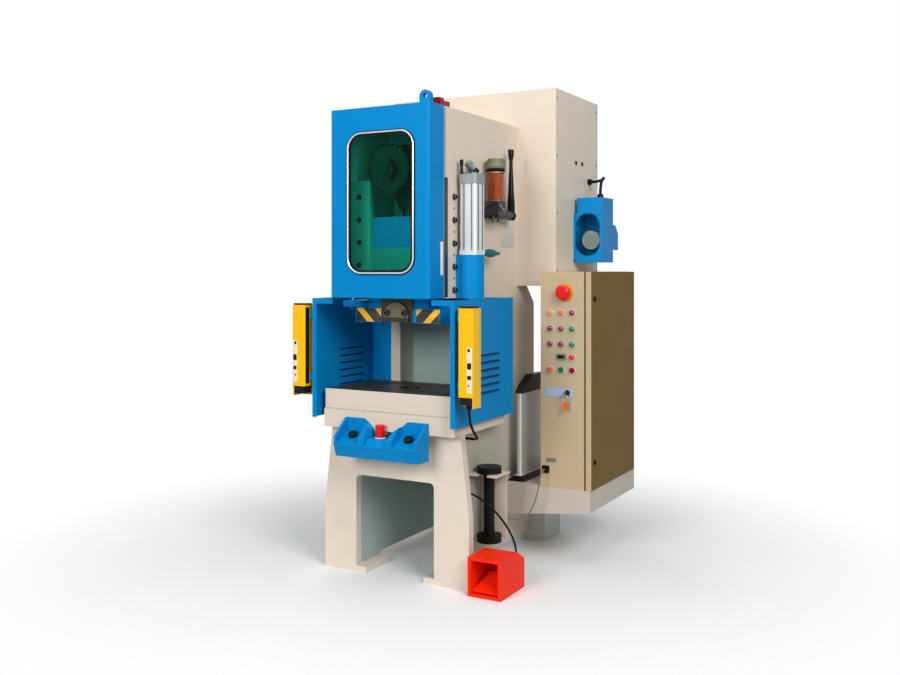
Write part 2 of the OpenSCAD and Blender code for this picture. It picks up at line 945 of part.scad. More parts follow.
// C-shaped guides that hold the ram's two edges
module gibs() {
  lip_x = ram_w / 2 - gib_lip;
  side_x = ram_w / 2 + slide_gap;
  color(steel) both_sides() along_z(gib_bottom, gib_h) polygon([
    [lip_x, upper_y - keeper_t], [half_w, upper_y - keeper_t], [half_w, upper_y],
    [inner, upper_y], [inner, ram_back + keeper_t], [lip_x, ram_back + keeper_t],
    [lip_x, ram_back + slide_gap], [side_x, ram_back + slide_gap],
    [side_x, ram_front - slide_gap], [lip_x, ram_front - slide_gap]
  ]);
}

// Bronze main bush with a flange at one end
module main_bush(y, flange_y) {
  difference() {
    union() {
      bar_y(y, bearing_t, seat_r - running, 0, crank_h);
      bar_y(flange_y, bush_flange_t, seat_r + bush_flange, 0, crank_h);
    }
    bar_y(y - 2 * bush_flange_t, bearing_t + 4 * bush_flange_t, main_r + running, 0, crank_h);
  }
}

module crank_bushes() {
  color(bronze) {
    main_bush(bearing_y, bearing_y - bush_flange_t);
    main_bush(rear_bearing_y, upper_back);
  }
}

// Square cylinder profile with a groove pair on each face
module balance_profile() {
  difference() {
    round_rect(balance_w, balance_w, balance_corner);
    circle(balance_bore / 2);
    for (a = [0 : 90 : 270], s = [-1, 1])
      rotate(a) translate([s * balance_w / 4, balance_w / 2])
        square([groove_w, 2 * groove_deep], center = true);
  }
}

// Balance cylinder of the right side: base, grooved tube, head and air elbow
module balance_cylinder() {
  color(steel) translate([balance_x, ram_y, 0]) {
    difference() {
      along_z(balance_z, balance_base) round_rect(balance_cap_w, balance_cap_w, balance_corner);
      bar_z(balance_z - 1, balance_base + 2, balance_rod_d / 2 + running, 0, 0);
    }
    along_z(balance_z + balance_base, balance_l) balance_profile();
    along_z(balance_top, balance_head) round_rect(balance_cap_w, balance_cap_w, balance_corner);
    bar_z(balance_top + balance_head, elbow_h, elbow_r, -elbow_r, 0);
    bar_y(0, balance_cap_w / 2, elbow_r - 2, -elbow_r, balance_top + balance_head + elbow_h - elbow_r);
  }
}

module balance_cylinder_left() {
  mirror([1, 0, 0]) balance_cylinder();
}

module balance_cylinder_right() {
  balance_cylinder();
}

// Round pillars on the side plates that carry the balance cylinders
module balance_brackets() {
  z = upper_h - 2;
  color(blue) both_sides() difference() {
    union() {
      bar_z(z, balance_z - z, tube_r, balance_x, ram_y);
      block([half_w, ram_y - bracket_half, z], [balance_x, ram_y + bracket_half, balance_z]);
    }
    bar_z(z - 1, balance_z - z + 2, balance_rod_d / 2 + 5, balance_x, ram_y);
  }
}

// Oval exhaust silencers on the balance cylinders' bases
module silencers() {
  y = ram_y + balance_cap_w / 2;
  color([0.05, 0.42, 0.46]) both_sides() translate([balance_x, y, balance_z + balance_base / 2])
    rotate([-90, 0, 0]) rotate_extrude() polygon([
      [0, 0], [silencer_neck, 0], [silencer_neck, silencer_stem],
      [silencer_r * 0.7, silencer_stem + bulb_l * 0.12], [silencer_r, silencer_stem + bulb_l * 0.36],
      [silencer_r, silencer_stem + bulb_l * 0.64], [silencer_r * 0.7, silencer_stem + bulb_l * 0.88],
      [silencer_neck, silencer_stem + bulb_l], [silencer_neck, silencer_stem + silencer_l],
      [0, silencer_stem + silencer_l]
    ]);
}

module pump_body() {
  cap_z = bowl_z + bowl_h;
  color(steel) {
    difference() {
      union() {
        block([half_w, pump_y - 68, pump_z], [half_w + 10, pump_y + 60, bowl_z]);
        block([half_w, pump_y - bowl_d / 2, pump_z + 14],
                      [bowl_x + bowl_d / 2 - 6, pump_y + bowl_d / 2, bowl_z]);
        bar_y(pump_y, pump_back - pump_y, lever_hub_r + 3, lever_x, lever_z);
        for (y = [-1, 1])
          bar_z(pump_z - 18, 40, outlet_r, bowl_x, pump_y + y * bowl_d / 3);
      }
      bar_y(pump_back - lever_pin_l - 2, lever_pin_l + 4, lever_pin_r + running, lever_x, lever_z);
    }
    bar_z(cap_z, 15, bowl_d / 2 + 4, bowl_x, pump_y);
    bar_z(cap_z + 15, 8, bowl_d / 2 - 4, bowl_x, pump_y);
  }
}

module oil_bowl() {
  color([0.5, 0.2, 0.05]) bar_z(bowl_z, bowl_h, bowl_d / 2, bowl_x, pump_y);
}

// Turned handle on a hub, with a pin into the pump
module pump_lever() {
  color(black) {
    bar_y(lever_y, lever_t, lever_hub_r, lever_x, lever_z);
    bar_y(pump_back - lever_pin_l, lever_y - pump_back + lever_pin_l + 1,
              lever_pin_r, lever_x, lever_z);
    translate([lever_x, lever_y + lever_t / 2, lever_z]) rotate_extrude() polygon([
      [0, 0], [grip_r, 0], [grip_r, grip_l], [lever_r, lever_l - grip_l - knob_l],
      [lever_r, lever_l - 2 * knob_l], [knob_r, lever_l - knob_l], [knob_r, lever_l], [0, lever_l]
    ]);
  }
}

// Folded sheet guard of the right side, with hooded louvres and the arms of the light curtain
module side_guard() {
  color(blue) {
    difference() {
      block([guard_x - guard_sheet, guard_y, guard_bottom], [guard_x, guard_back, guard_top]);
      for (i = [0 : louvre_count - 1])
        block([guard_x - guard_sheet - 1, louvre_y, louvre_z + i * louvre_pitch],
                      [guard_x + 1, louvre_y + louvre_l, louvre_z + i * louvre_pitch + louvre_h]);
    }
    for (i = [0 : louvre_count - 1])
      along_y(louvre_y, louvre_l) translate([guard_x, louvre_z + i * louvre_pitch + louvre_h])
        polygon([
          [-eps, 0], [-eps, guard_sheet], [louvre_out, -louvre_h - louvre_drop],
          [louvre_out - guard_sheet, -louvre_h - louvre_drop]
        ]);
    block([guard_x - guard_fold, guard_y, guard_bottom], [guard_x, guard_y + guard_sheet, guard_top]);
    block([half_w, flange_y, bed_h + loose], [guard_x, flange_y + guard_sheet, guard_top]);
    block([half_w, guard_y, guard_top - strap_h], [guard_x, guard_y + guard_sheet, guard_top]);
    for (z = [curtain_bottom + arm_inset, curtain_top - arm_inset - arm_w])
      block([guard_x - eps, arm_y, z], [curtain_in, arm_y + arm_d, z + arm_w]);
  }
}

module side_guard_left() {
  mirror([1, 0, 0]) side_guard();
}

module side_guard_right() {
  side_guard();
}

// Yellow housing of the right light curtain
module light_curtain() {
  back = curtain_y + curtain_d;
  color(yellow) {
    translate([curtain_x - curtain_w / 2, curtain_y + curtain_d / 2, 0])
      along_z(curtain_bottom, curtain_h) round_rect(curtain_w, curtain_d, curtain_edge);
    block([curtain_x - skirt_t, curtain_y + curtain_edge, curtain_bottom - skirt_h],
              [curtain_x, back, curtain_bottom + skirt_h]);
    block([curtain_in - skirt_lip, back - eps, curtain_bottom - skirt_h],
              [curtain_x, back + skirt_t, curtain_top]);
  }
}

module light_curtain_left() {
  mirror([1, 0, 0]) light_curtain();
}

module light_curtain_right() {
  light_curtain();
}

// Black end caps and optical windows of both light curtains
module curtain_fittings() {
  color(black) both_sides() {
    translate([curtain_x - curtain_w / 2, curtain_y + curtain_d / 2, 0]) {
      along_z(curtain_bottom - curtain_foot, curtain_foot)
        round_rect(curtain_w - 2 * skirt_t - 2, curtain_d - curtain_edge, curtain_edge);
      along_z(curtain_top, curtain_cap)
        round_rect(curtain_w - curtain_edge, curtain_d - curtain_edge, curtain_edge);
    }
    block([curtain_in - lens_t, lens_y, curtain_bottom + lens_inset],
              [curtain_in, lens_y + lens_w, curtain_top - lens_inset]);
  }
}

// Height of the sloping hood floor at a place y
function floor_z(y) = palm_z + (y - palm_y) * tan(floor_tilt);

// Space for the hand over the right button, open to the front and the top
module hand_space() {
  ahead = console_front - 30;
  along_x(console_x - hood_w + cheek_in, hood_w - cheek_in - cheek_out) polygon([
    [ahead, floor_z(ahead)], [hood_back, floor_z(hood_back)], [hood_back, hood_z + 20],
    [ahead, hood_z + 20]
  ]);
}

// Right hood of the console
module console_hood() {
  x = console_x - hood_w;
  difference() {
    intersection() {
      along_y(console_front, console_d) polygon([
        [x, ridge_z], [x, deck_z], [x + 17, hood_z - 36], [x + 60, hood_z],
        [console_x, hood_z], [console_x, ridge_z]
      ]);
      along_x(x, hood_w) polygon([
        [hood_rear, ridge_z], [console_front, ridge_z], [console_front + 2, deck_z + 4],
        [hood_back, hood_z], [hood_rear, hood_z]
      ]);
    }
    hand_space();
  }
}

// Places its children on the sloping floor of the right hood
module at_palm() {
  translate([palm_x, palm_y, palm_z]) rotate([floor_tilt, 0, 0]) children();
}

module console_housing() {
  color(blue) difference() {
    union() {
      difference() {
        along_x(-console_x, console_w) polygon([
          [hood_rear, console_h], [console_front + 19, console_h], [console_front, ridge_z],
          [console_front + 30, deck_z], [hood_rear, deck_z]
        ]);
        both_sides() hand_space();
      }
      both_sides() console_hood();
      block([-console_arm, hood_rear - 1, ridge_z], [console_arm, front_y, deck_z]);
    }
    both_sides() at_palm() bar_z(-bore_depth, bore_depth + 1, palm_stem_r + loose, 0, 0);
    bar_z(deck_z - bore_depth, bore_depth + 1, palm_stem_r + loose, stop_x, stop_y);
  }
}

// Head of a button from z up, with a bevel c at the top
module head(z, h, r, c) {
  bar_z(z, h - c, r, 0, 0);
  translate([0, 0, z + h - c]) cylinder(h = c, r1 = r, r2 = r - c);
}

module palm_button() {
  color(black) at_palm() {
    bar_z(-stem_l, stem_l + palm_lift, palm_stem_r, 0, 0);
    head(palm_lift, palm_cap_h, palm_d / 2, 4);
  }
}

module palm_button_left() {
  mirror([1, 0, 0]) palm_button();
}

module palm_button_right() {
  palm_button();
}

module console_estop() {
  color(red) translate([stop_x, stop_y, deck_z]) {
    bar_z(-stem_l, stem_l + stop_lift, palm_stem_r, 0, 0);
    head(stop_lift, stop_cap_h, stop_r, 4);
  }
}

// Lift-off hinge arms of the cabinet door, with their pins
module door_hinge_arms() {
  for (z = door_hinge_heights) {
    block([body_out - arm_l / 2, cabinet_back - eps, z],
              [door_hinge_x, door_hinge_y + nose_r, z + arm_h]);
    bar_z(z, arm_h, nose_r, door_hinge_x, door_hinge_y);
    bar_z(z, arm_h + knuckle_h, door_pin_r, door_hinge_x, door_hinge_y);
  }
}

module cabinet_body() {
  s = cabinet_sheet;
  color(beige) {
    difference() {
      block([cabinet_x, cabinet_y, cabinet_z], [body_out, cabinet_back, cabinet_top]);
      block([cabinet_x + s, cabinet_y + s, cabinet_z + s],
                  [body_out - s, cabinet_back - s, cabinet_top - s]);
      block([body_out - s - 1, cabinet_y + rim, cabinet_z + rim],
                  [body_out + 1, cabinet_back - rim, cabinet_top - rim]);
      for (p = concat(lamp_spots, button_spots, [key_spot, estop_spot]))
        bar_y(cabinet_y - 1, s + 2, operator_r, p[0], p[1]);
    }
    door_hinge_arms();
  }
}

module cabinet_door() {
  s = cabinet_sheet;
  back = cabinet_back - door_edge;
  low = cabinet_z + door_edge;
  high = cabinet_top - door_edge;
  color(beige) {
    difference() {
      block([door_x, cabinet_y, low], [cabinet_out, back, high]);
      block([door_x - 1, cabinet_y + s, low + s], [cabinet_out - s, back - s, high - s]);
    }
    for (z = door_hinge_heights) {
      z0 = z + arm_h + loose;
      difference() {
        union() {
          block([door_x, back - s, z0],
                          [door_hinge_x + knuckle_r - 1, door_hinge_y, z0 + knuckle_h]);
          bar_z(z0, knuckle_h, knuckle_r - 1, door_hinge_x, door_hinge_y);
        }
        bar_z(z0 - 1, knuckle_h + 2, door_pin_r + running, door_hinge_x, door_hinge_y);
      }
    }
  }
}

// Quarter-turn lock inserts on the door's free edge
module door_locks() {
  color(black) for (z = lock_heights) difference() {
    union() {
      bar_x(cabinet_out, lock_t, lock_r, lock_y, z);
      bar_x(cabinet_out, lock_t + 3, lock_r - 4, lock_y, z);
    }
    block([cabinet_out + 1, lock_y - 1.5, z - lock_r / 2],
              [cabinet_out + lock_t + 4, lock_y + 1.5, z + lock_r / 2]);
  }
}

// Cantilever box of folded plate that carries the cabinet
module cabinet_bracket() {
  s = bracket_sheet;
  out = cabinet_out - 5;
  color([0.80, 0.80, 0.79]) difference() {
    along_y(cabinet_y, cabinet_d + bracket_over) polygon([
      [half_w, bracket_h - bracket_root], [half_w, bracket_h], [out, bracket_h],
      [out, bracket_h - bracket_end_h]
    ]);
    block([half_w + s, cabinet_y + s, bracket_h - bracket_root - 1],
              [out - s, cabinet_back + bracket_over - s, bracket_h - s]);
  }
}

// Places its children on the cabinet front, facing the operator
module on_panel(p) {
  translate([p[0], cabinet_y, p[1]]) rotate([90, 0, 0]) children();
}

module pilot_lamps() {
  color([0.75, 0.10, 0.06]) for (p = lamp_spots) on_panel(p) {
    bar_z(-lamp_depth, lamp_depth + bezel_t + 3, operator_r - loose, 0, 0);
    translate([0, 0, bezel_t + 3]) cylinder(h = 3, r1 = operator_r - loose, r2 = operator_r - 4);
  }
}

// Bezels, the stop's collar, the counter, the key plate and the blank plate
module panel_fittings() {
  color([0.80, 0.80, 0.80]) {
    for (p = concat(lamp_spots, button_spots)) on_panel(p) difference() {
      bar_z(0, bezel_t, bezel_r, 0, 0);
      bar_z(-1, bezel_t + 2, operator_r, 0, 0);
    }
    on_panel(estop_spot) difference() {
      bar_z(0, bezel_t, estop_d / 2 + 8, 0, 0);
      bar_z(-1, bezel_t + 2, operator_r, 0, 0);
    }
    on_panel([column_x[1], row_z[3]]) along_z(0, counter_t) round_rect(counter_w, counter_h, 3);
    on_panel([key_spot[0] - key_side, key_spot[1]]) difference() {
      along_z(0, plate_edge) round_rect(key_plate_w, key_plate_h, 3);
      bar_z(-1, plate_edge + 2, operator_r, key_side, 0);
    }
    on_panel(blank_spot) along_z(0, plate_edge) round_rect(blank_w, blank_h, 2);
  }
}

module cabinet_estop() {
  color(red) on_panel(estop_spot) {
    bar_z(-stem_l, stem_l + estop_lift, operator_r - loose, 0, 0);
    head(estop_lift, estop_head, estop_d / 2, 6);
  }
}

// Lock barrel with its key, ring and tag
module key_switch() {
  color(black) on_panel(key_spot) {
    bar_z(-stem_l, stem_l + key_l, operator_r - loose, 0, 0);
    along_x(-key_t / 2, key_t) translate([0, key_l + key_bow / 2 - 2]) round_rect(key_bow, key_bow, 6);
    translate([0, -key_bow / 2 - key_ring_r + 4, key_l + key_bow / 2])
      rotate_extrude() translate([key_ring_r, 0]) circle(key_t / 2, $fn = 16);
    translate([0, -key_bow / 2 - 2 * key_ring_r - tag_l / 2 + 6, 0])
      along_z(key_l + key_bow / 2 - key_t / 2, key_t) round_rect(tag_w, tag_l, 6);
  }
}

module mode_selector() {
  color([0.95, 0.30, 0.05]) on_panel(selector_spot) {
    bar_z(-stem_l, stem_l + bezel_t + 4, operator_r - loose, 0, 0);
    along_z(bezel_t + 3, 9) round_rect(8, 2 * operator_r - 2, 3);
  }
}

// Flush push button at a place on the panel
module push_button(p) {
  on_panel(p) bar_z(-stem_l, stem_l + bezel_t + button_travel, operator_r - loose, 0, 0);
}

module start_button() {
  color([0.05, 0.45, 0.15]) push_button(start_spot);
}

module stop_button() {
  color([0.60, 0.05, 0.04]) push_button(stop_spot);
}

// Mounting plate with rails, contactors, terminals and wiring ducts
module switchgear() {
  low = cabinet_z + gear_margin;
  high = cabinet_top - gear_margin;
  y0 = cabinet_y + gear_inset;
  y1 = cabinet_back - gear_margin;
  row = (high - low) / gear_rows;
  unit_d = (y1 - y0 - 2 * duct_w) / gear_units;
  color(steel) {
    block([gear_x, y0, low], [gear_x + 3, y1, high]);
    for (y = [y0 + 20, y1 - 20], z = [low + 20, high - 20])
      bar_x(cabinet_x + cabinet_sheet, gear_x - cabinet_x - cabinet_sheet + 1, 6, y, z);
    for (y = [y0, y1 - duct_w]) block([gear_x + 2, y, low], [gear_x + 50, y + duct_w, high]);
    for (i = [0 : gear_rows - 1]) {
      z = low + i * row;
      block([gear_x + 2, y0 + duct_w - 1, z], [gear_x + 50, y1 - duct_w + 1, z + duct_w]);
      block([gear_x + 2, y0 + duct_w, z + row / 2], [gear_x + 10, y1 - duct_w, z + row / 2 + 35]);
      for (k = [0 : gear_units - 1])
        block([gear_x + 9, y0 + duct_w + k * unit_d + 2, z + duct_w + 18],
                      [gear_x + 50 + 12 * ((i + k) % 3), y0 + duct_w + (k + 1) * unit_d - 2, z + row - 18]);
    }
  }
}

// Gland with a tapered nut, standing on the plane z = 0
module gland(r) {
  body = gland_l - gland_nut;
  bar_z(0, body, r, 0, 0);
  translate([0, 0, body - eps]) cylinder(h = gland_nut + eps, r1 = r - 1, r2 = r - 4);
}

// Glands that the cords come out of, and the plug on the cabinet front
module cable_glands() {
  color(black) {
    for (p = [pedal_port, curtain_port, link_port])
      translate(p - [gland_l, 0, 0]) rotate([0, 90, 0]) gland(gland_r);
    translate(pedal_plug - [0, gland_l, 0]) rotate([-90, 0, 0]) gland(gland_r);
    translate(curtain_plug + [0, 0, gland_l]) rotate([180, 0, 0]) gland(gland_r);
    translate(hose_port - [gland_l, 0, 0]) rotate([0, 90, 0]) gland(gland_r + 3);
    translate(hose_plug - [0, 0, gland_l]) gland(gland_r + 3);
    translate(link_plug + [0, gland_l, 0]) rotate([90, 0, 0]) {
      along_z(0, gland_nut) round_rect(plug_w, plug_w, plug_w / 8);
      bar_z(gland_nut - 1, gland_l - gland_nut + 1, gland_r - 3, 0, 0);
    }
  }
}

module pedal_cable() {
  route = bend(pedal_port, [pedal_pull[0], 0, 0], [0, pedal_pull[1], 0], pedal_plug, 20);
  color(black) cord(route, pedal_cord_d, [0, 0, 1]);
}

module curtain_cable() {
  route = bend(curtain_plug, [0, 0, -curtain_pull[0]], [curtain_pull[1], 0, 0], curtain_port, 14);
  color(black) cord(route, curtain_cord_d, [1, 0, 0]);
}

// Two bends that meet at the lowest point of the loop
module link_cable() {
  fall = bend(link_plug, [0, -link_pull[0], 0], -2 * link_way, link_low, 14);
  rise = bend(link_low, link_way, [link_pull[1], 0, 0], link_port, 10);
  color([0.3, 0.3, 0.3])
    cord(concat(fall, [for (i = [1 : len(rise) - 1]) rise[i]]), link_cord_d, [1, 0, 0]);
}

module cam_hose() {
  route = bend(hose_port, [hose_pull[0], 0, 0], [0, 0, hose_pull[1]], hose_plug, 12);
  color(black) cord(route, hose_d, [0, 0, 1], 12);
}

module pedal_housing() {
  color(pedal_red) difference() {
    along_x(pedal_x, pedal_w) polygon([
      [pedal_front, 0], [pedal_back, 0], [pedal_back, pedal_back_h],
      [pedal_back - pedal_slope, pedal_h], [pedal_front, pedal_h]
    ]);
    along_x(pedal_x + pedal_wall, pedal_w - 2 * pedal_wall) polygon([
      [pedal_front - 1, pedal_base], [pedal_back - 2 * pedal_wall, pedal_base],
      [pedal_back - 2 * pedal_wall, pedal_back_h - pedal_wall],
      [pedal_back - pedal_slope - pedal_wall, pedal_h - pedal_wall],
      [pedal_front - 1, pedal_h - pedal_wall]
    ]);
    bar_x(pedal_x + pin_cover, pedal_w - 2 * pin_cover, treadle_pin_r + running, treadle_y, treadle_z);
  }
}

// Ribbed foot plate on its pin
module pedal_treadle() {
  x = pedal_x + pedal_w / 2;
  color(pedal_red) {
    bar_x(pedal_x + pin_cover + loose, pedal_w - 2 * (pin_cover + loose),
              treadle_pin_r, treadle_y, treadle_z);
    translate([x, treadle_y, treadle_z]) rotate([treadle_rise, 0, 0]) {
      block([-treadle_w / 2, -12, -treadle_t / 2], [treadle_w / 2, treadle_l, treadle_t / 2]);
      for (y = [20 : rib_pitch : treadle_l - 10])
        block([6 - treadle_w / 2, y, 0], [treadle_w / 2 - 6, y + rib_pitch / 3, treadle_t / 2 + 2]);
    }
  }
}

// Stadium with upright long sides
module racetrack(w, h) {
  square([w, h - w], center = true);
  for (s = [-1, 1]) translate([0, s * (h - w) / 2]) circle(w / 2);
}

module cam_box() {
  top = cam_z + cam_h;
  out = cam_x + cam_w;
  color(blue) difference() {
    union() {
      along_y(cam_y, cam_d) polygon([
        [cam_x, cam_z], [out, cam_z], [out, top], [cam_x + cam_notch, top],
        [cam_x + cam_notch, top - cam_notch_h], [cam_x, top - cam_notch_h]
      ]);
      along_x(cam_x, cam_w - cam_wall) polygon([
        [cam_back - 1, cam_z + 65], [cam_back + 91, cam_z + 65], [cam_back + 91, cam_z + 150],
        [cam_back + 50, cam_z + 192], [cam_back - 1, cam_z + 192]
      ]);
    }
    block([cam_x + cam_wall, cam_y + cam_wall, cam_z + cam_wall],
              [out - cam_wall, cam_back - cam_wall, top - cam_notch_h - cam_wall]);
    translate([glass_x, 0, glass_z]) along_y(cam_y - 1, cam_wall + 2) racetrack(glass_w, glass_h);
    bar_y(cam_back - cam_wall - 1, 60, dial_shaft_r + running, dial_x, dial_z);
  }
}

module cam_glass() {
  color([0.7, 0.8, 0.8, 0.4]) translate([glass_x, 0, glass_z])
    along_y(cam_y + 1, cam_wall - 2) racetrack(glass_w - 2 * loose, glass_h - 2 * loose);
}

// Dial and three notched cams on one shaft
module cam_dial() {
  color(steel) {
    bar_y(cam_y + 14, cam_d + 20, dial_shaft_r, dial_x, dial_z);
    bar_y(cam_y + 14, 6, dial_d / 2, dial_x, dial_z);
    for (i = [0 : 2]) difference() {
      bar_y(cam_y + 45 + i * cam_pitch, 12, dial_d / 2 - 9, dial_x, dial_z);
      translate([dial_x, 0, dial_z]) rotate([0, 40 * i, 0])
        block([-12, cam_y, dial_d / 2 - 17], [12, cam_back, dial_d]);
    }
  }
}

// Section of the front cover: front sheet and two side walls, with round bends
module cover_outline(inset) {
  w = frame_w - 2 * inset;
  r = cover_bend - inset;
  translate([-w / 2 + r, cover_front + inset]) square([w - 2 * r, cover_d]);
  translate([-w / 2, cover_front + inset + r]) square([w, cover_d - r]);
  for (x = [r - w / 2, w / 2 - r]) translate([x, cover_front + inset + r]) circle(r);
}

module cover_lug() {
  difference() {
    along_y(lug_y, lug_t) translate([lug_x, frame_h - 1]) {
      translate([-lug_w / 2, 0]) square([lug_w, lug_h - lug_w / 2]);
      translate([0, lug_h - lug_w / 2]) circle(lug_w / 2);
    }
    bar_y(lug_y - 1, lug_t + 2, lug_w / 5, lug_x, frame_h + lug_h - lug_w / 2);
  }
  block([lug_x - 8, lug_y + lug_t - 1, frame_h + 12], [lug_x + 8, switch_y - 1, frame_h + 16]);
}

module front_cover() {
  h = frame_h - cover_bottom;
  s = cover_sheet;
  color(blue) {
    difference() {
      along_z(cover_bottom, h) cover_outline(0);
      along_z(cover_bottom + s, h - 2 * s) cover_outline(s);
      translate([0, 0, window_z]) along_y(cover_front - 1, s + 2) window_outline(0);
    }
    cover_lug();
    for (z = hinge_heights) difference() {
      bar_z(z + arm_h + loose, knuckle_h, knuckle_r, hinge_x, hinge_y);
      bar_z(z, arm_h + knuckle_h + 2, hinge_pin_r + running, hinge_x, hinge_y);
    }
  }
}

// Window outline, smaller by a margin all round
module window_outline(margin) {
  translate([window_x, 0])
    round_rect(window_w - 2 * margin, window_h - 2 * margin, window_r - margin);
}

// Rubber seal that grips the edge of the window and laps over the pane
module window_seal() {
  m = seal_w / 2;
  color(black) translate([0, 0, window_z]) difference() {
    union() {
      along_y(cover_front - seal_proud, seal_proud) window_outline(-m);
      along_y(cover_front - eps, cover_sheet) window_outline(loose);
    }
    along_y(cover_front - seal_proud - 1, seal_proud + 2) window_outline(m + seal_lap);
    along_y(cover_front, cover_sheet + 1) window_outline(m);
  }
}

module window_pane() {
  color([0.05, 0.35, 0.25, 0.5]) translate([0, 0, window_z])
    along_y(cover_front, pane_t) window_outline(seal_w / 2 + loose);
}

module interlock_switch() {
  color(red) {
    block([lug_x - switch_w / 2, switch_y, frame_h],
              [lug_x + switch_w / 2, switch_y + switch_l, frame_h + switch_h - 12]);
    block([lug_x - switch_w / 2 + 6, switch_y, frame_h + switch_h - 13],
              [lug_x + switch_w / 2 - 6, switch_y + switch_l / 2, frame_h + switch_h]);
  }
}

// Flat aluminium profile on a black foot, with a sloping black cap
module air_reservoir() {
  foot_top = bracket_h + reservoir_foot;
  cap_z = foot_top + reservoir_h;
  w = reservoir_w / 2;
  back = reservoir_y + reservoir_d;
  color(steel) {
    along_y(reservoir_y - 18, reservoir_d + 30) translate([reservoir_x, bracket_h]) polygon([
      [-w - 36, 0], [w + 22, 0], [w + 8, reservoir_foot], [-w - 8, reservoir_foot]
    ]);
    translate([reservoir_x, reservoir_y + reservoir_d / 2, 0])
      along_z(foot_top, reservoir_h) round_rect(reservoir_w, reservoir_d, w - 1);
    along_x(reservoir_x - w - 5, reservoir_w + 10) polygon([
      [reservoir_y - 4, cap_z], [back + 4, cap_z], [back + 4, cap_z + reservoir_cap],
      [reservoir_y + 118, cap_z + reservoir_cap], [reservoir_y + 40, cap_z + reservoir_cap / 2]
    ]);
  }
}

module cable_spool() {
  top_z = spool_shelf + shelf_t;
  color(black) {
    bar_z(spool_bottom, spool_flange, spool_d / 2, spool_x, spool_y);
    bar_z(spool_bottom, top_z - spool_bottom + 1, spool_core_r, spool_x, spool_y);
    bar_z(top_z, spool_top - top_z, spool_d / 2, spool_x, spool_y);
  }
}

// Middle of belt groove i along Y
function groove_y(i) = fly_y + flywheel_t / 2 + (i - (belt_count - 1) / 2) * belt_pitch;

// Half section of a grooved wheel's rim, from radius r inwards
module grooved_rim(r, depth) {
  difference() {
    translate([r - depth, 0]) square([depth, flywheel_t]);
    for (i = [0 : belt_count - 1])
      translate([r - groove_d, groove_y(i) - fly_y - belt_w / 2 - belt_gap])
        square([groove_d + 1, belt_w + 2 * belt_gap]);
  }
}

module flywheel() {
  web_y = (flywheel_t - web_plate) / 2;
  hole_r = (fly_r - rim_t - hub_r) / 4;
  color(steel) translate([0, fly_y, crank_h]) rotate([-90, 0, 0]) difference() {
    rotate_extrude() {
      translate([fly_shaft_r + running, 0]) square([hub_r - fly_shaft_r - running, flywheel_t]);
      translate([hub_r - 1, web_y]) square([fly_r - rim_t - hub_r + 2, web_plate]);
      grooved_rim(fly_r, rim_t);
    }
    for (a = [0 : 60 : 300])
      rotate(a) bar_z(web_y - 1, web_plate + 2, hole_r, (fly_r - rim_t + hub_r) / 2, 0);
  }
}

module motor_pulley() {
  color(steel) translate([motor_x, fly_y, motor_z]) rotate([-90, 0, 0]) {
    rotate_extrude() grooved_rim(pulley_r, pulley_r);
    bar_z(flywheel_t - 1, motor_y - fly_y - flywheel_t + shaft_grip, motor_shaft_r, 0, 0);
  }
}

// Outline of a belt's inner face grown by t
module belt_outline(t) {
  r1 = fly_r - groove_d + t;
  r2 = pulley_r - groove_d + t;
  way = function(s) [cos(belt_way + s * belt_lean), sin(belt_way + s * belt_lean)];
  hub = [0, crank_h];
  shaft = [motor_x, motor_z];
  translate(hub) circle(r1);
  translate(shaft) circle(r2);
  polygon([hub + r1 * way(1), shaft + r2 * way(1), shaft + r2 * way(-1), hub + r1 * way(-1)]);
}

module drive_belts() {
  color(black) for (i = [0 : belt_count - 1]) along_y(groove_y(i) - belt_w / 2, belt_w) difference() {
    belt_outline(belt_gap + belt_t);
    belt_outline(belt_gap);
  }
}

module motor() {
  color(blue) translate([motor_x, motor_y, motor_z]) rotate([-90, 0, 0]) difference() {
    union() {
      bar_z(-motor_plate_t, motor_plate_t + 1, spigot_r, 0, 0);
      bar_z(0, motor_flange, motor_d / 2 + 1, 0, 0);
      bar_z(0, motor_l - motor_cowl, motor_d / 2 - 9, 0, 0);
      bar_z(motor_l - motor_cowl - 1, motor_cowl + 1, motor_d / 2, 0, 0);
      for (a = [0 : fin_step : 359]) rotate(a)
        block([0, -2, 1], [motor_d / 2 - 1, 2, motor_l - motor_cowl]);
    }
    bar_z(-motor_plate_t - 1, motor_plate_t + shaft_grip + 2, motor_shaft_r + running, 0, 0);
  }
}

module crankshaft() {
  web_y = rod_back + rod_play;
  bush_y = rod_front - rod_play;
  color(steel) {
    bar_y(bush_y - drum_l - nut_t - 8, nut_t + 9, stud_r, 0, pin_z);
    bar_y(bush_y - drum_l, web_y - bush_y + drum_l + 1, pin_d / 2, 0, pin_z);
    bar_y(web_y, web_t, web_r, 0, crank_h);
    bar_y(web_y + web_t - 1, upper_back + bearing_run - web_y - web_t + 1, main_r, 0, crank_h);
    bar_y(upper_back, fly_y + flywheel_t - upper_back + clutch_gap + 1, fly_shaft_r, 0, crank_h);
    bar_y(fly_y + flywheel_t + clutch_gap, clutch_t, clutch_r, 0, crank_h);
  }
}

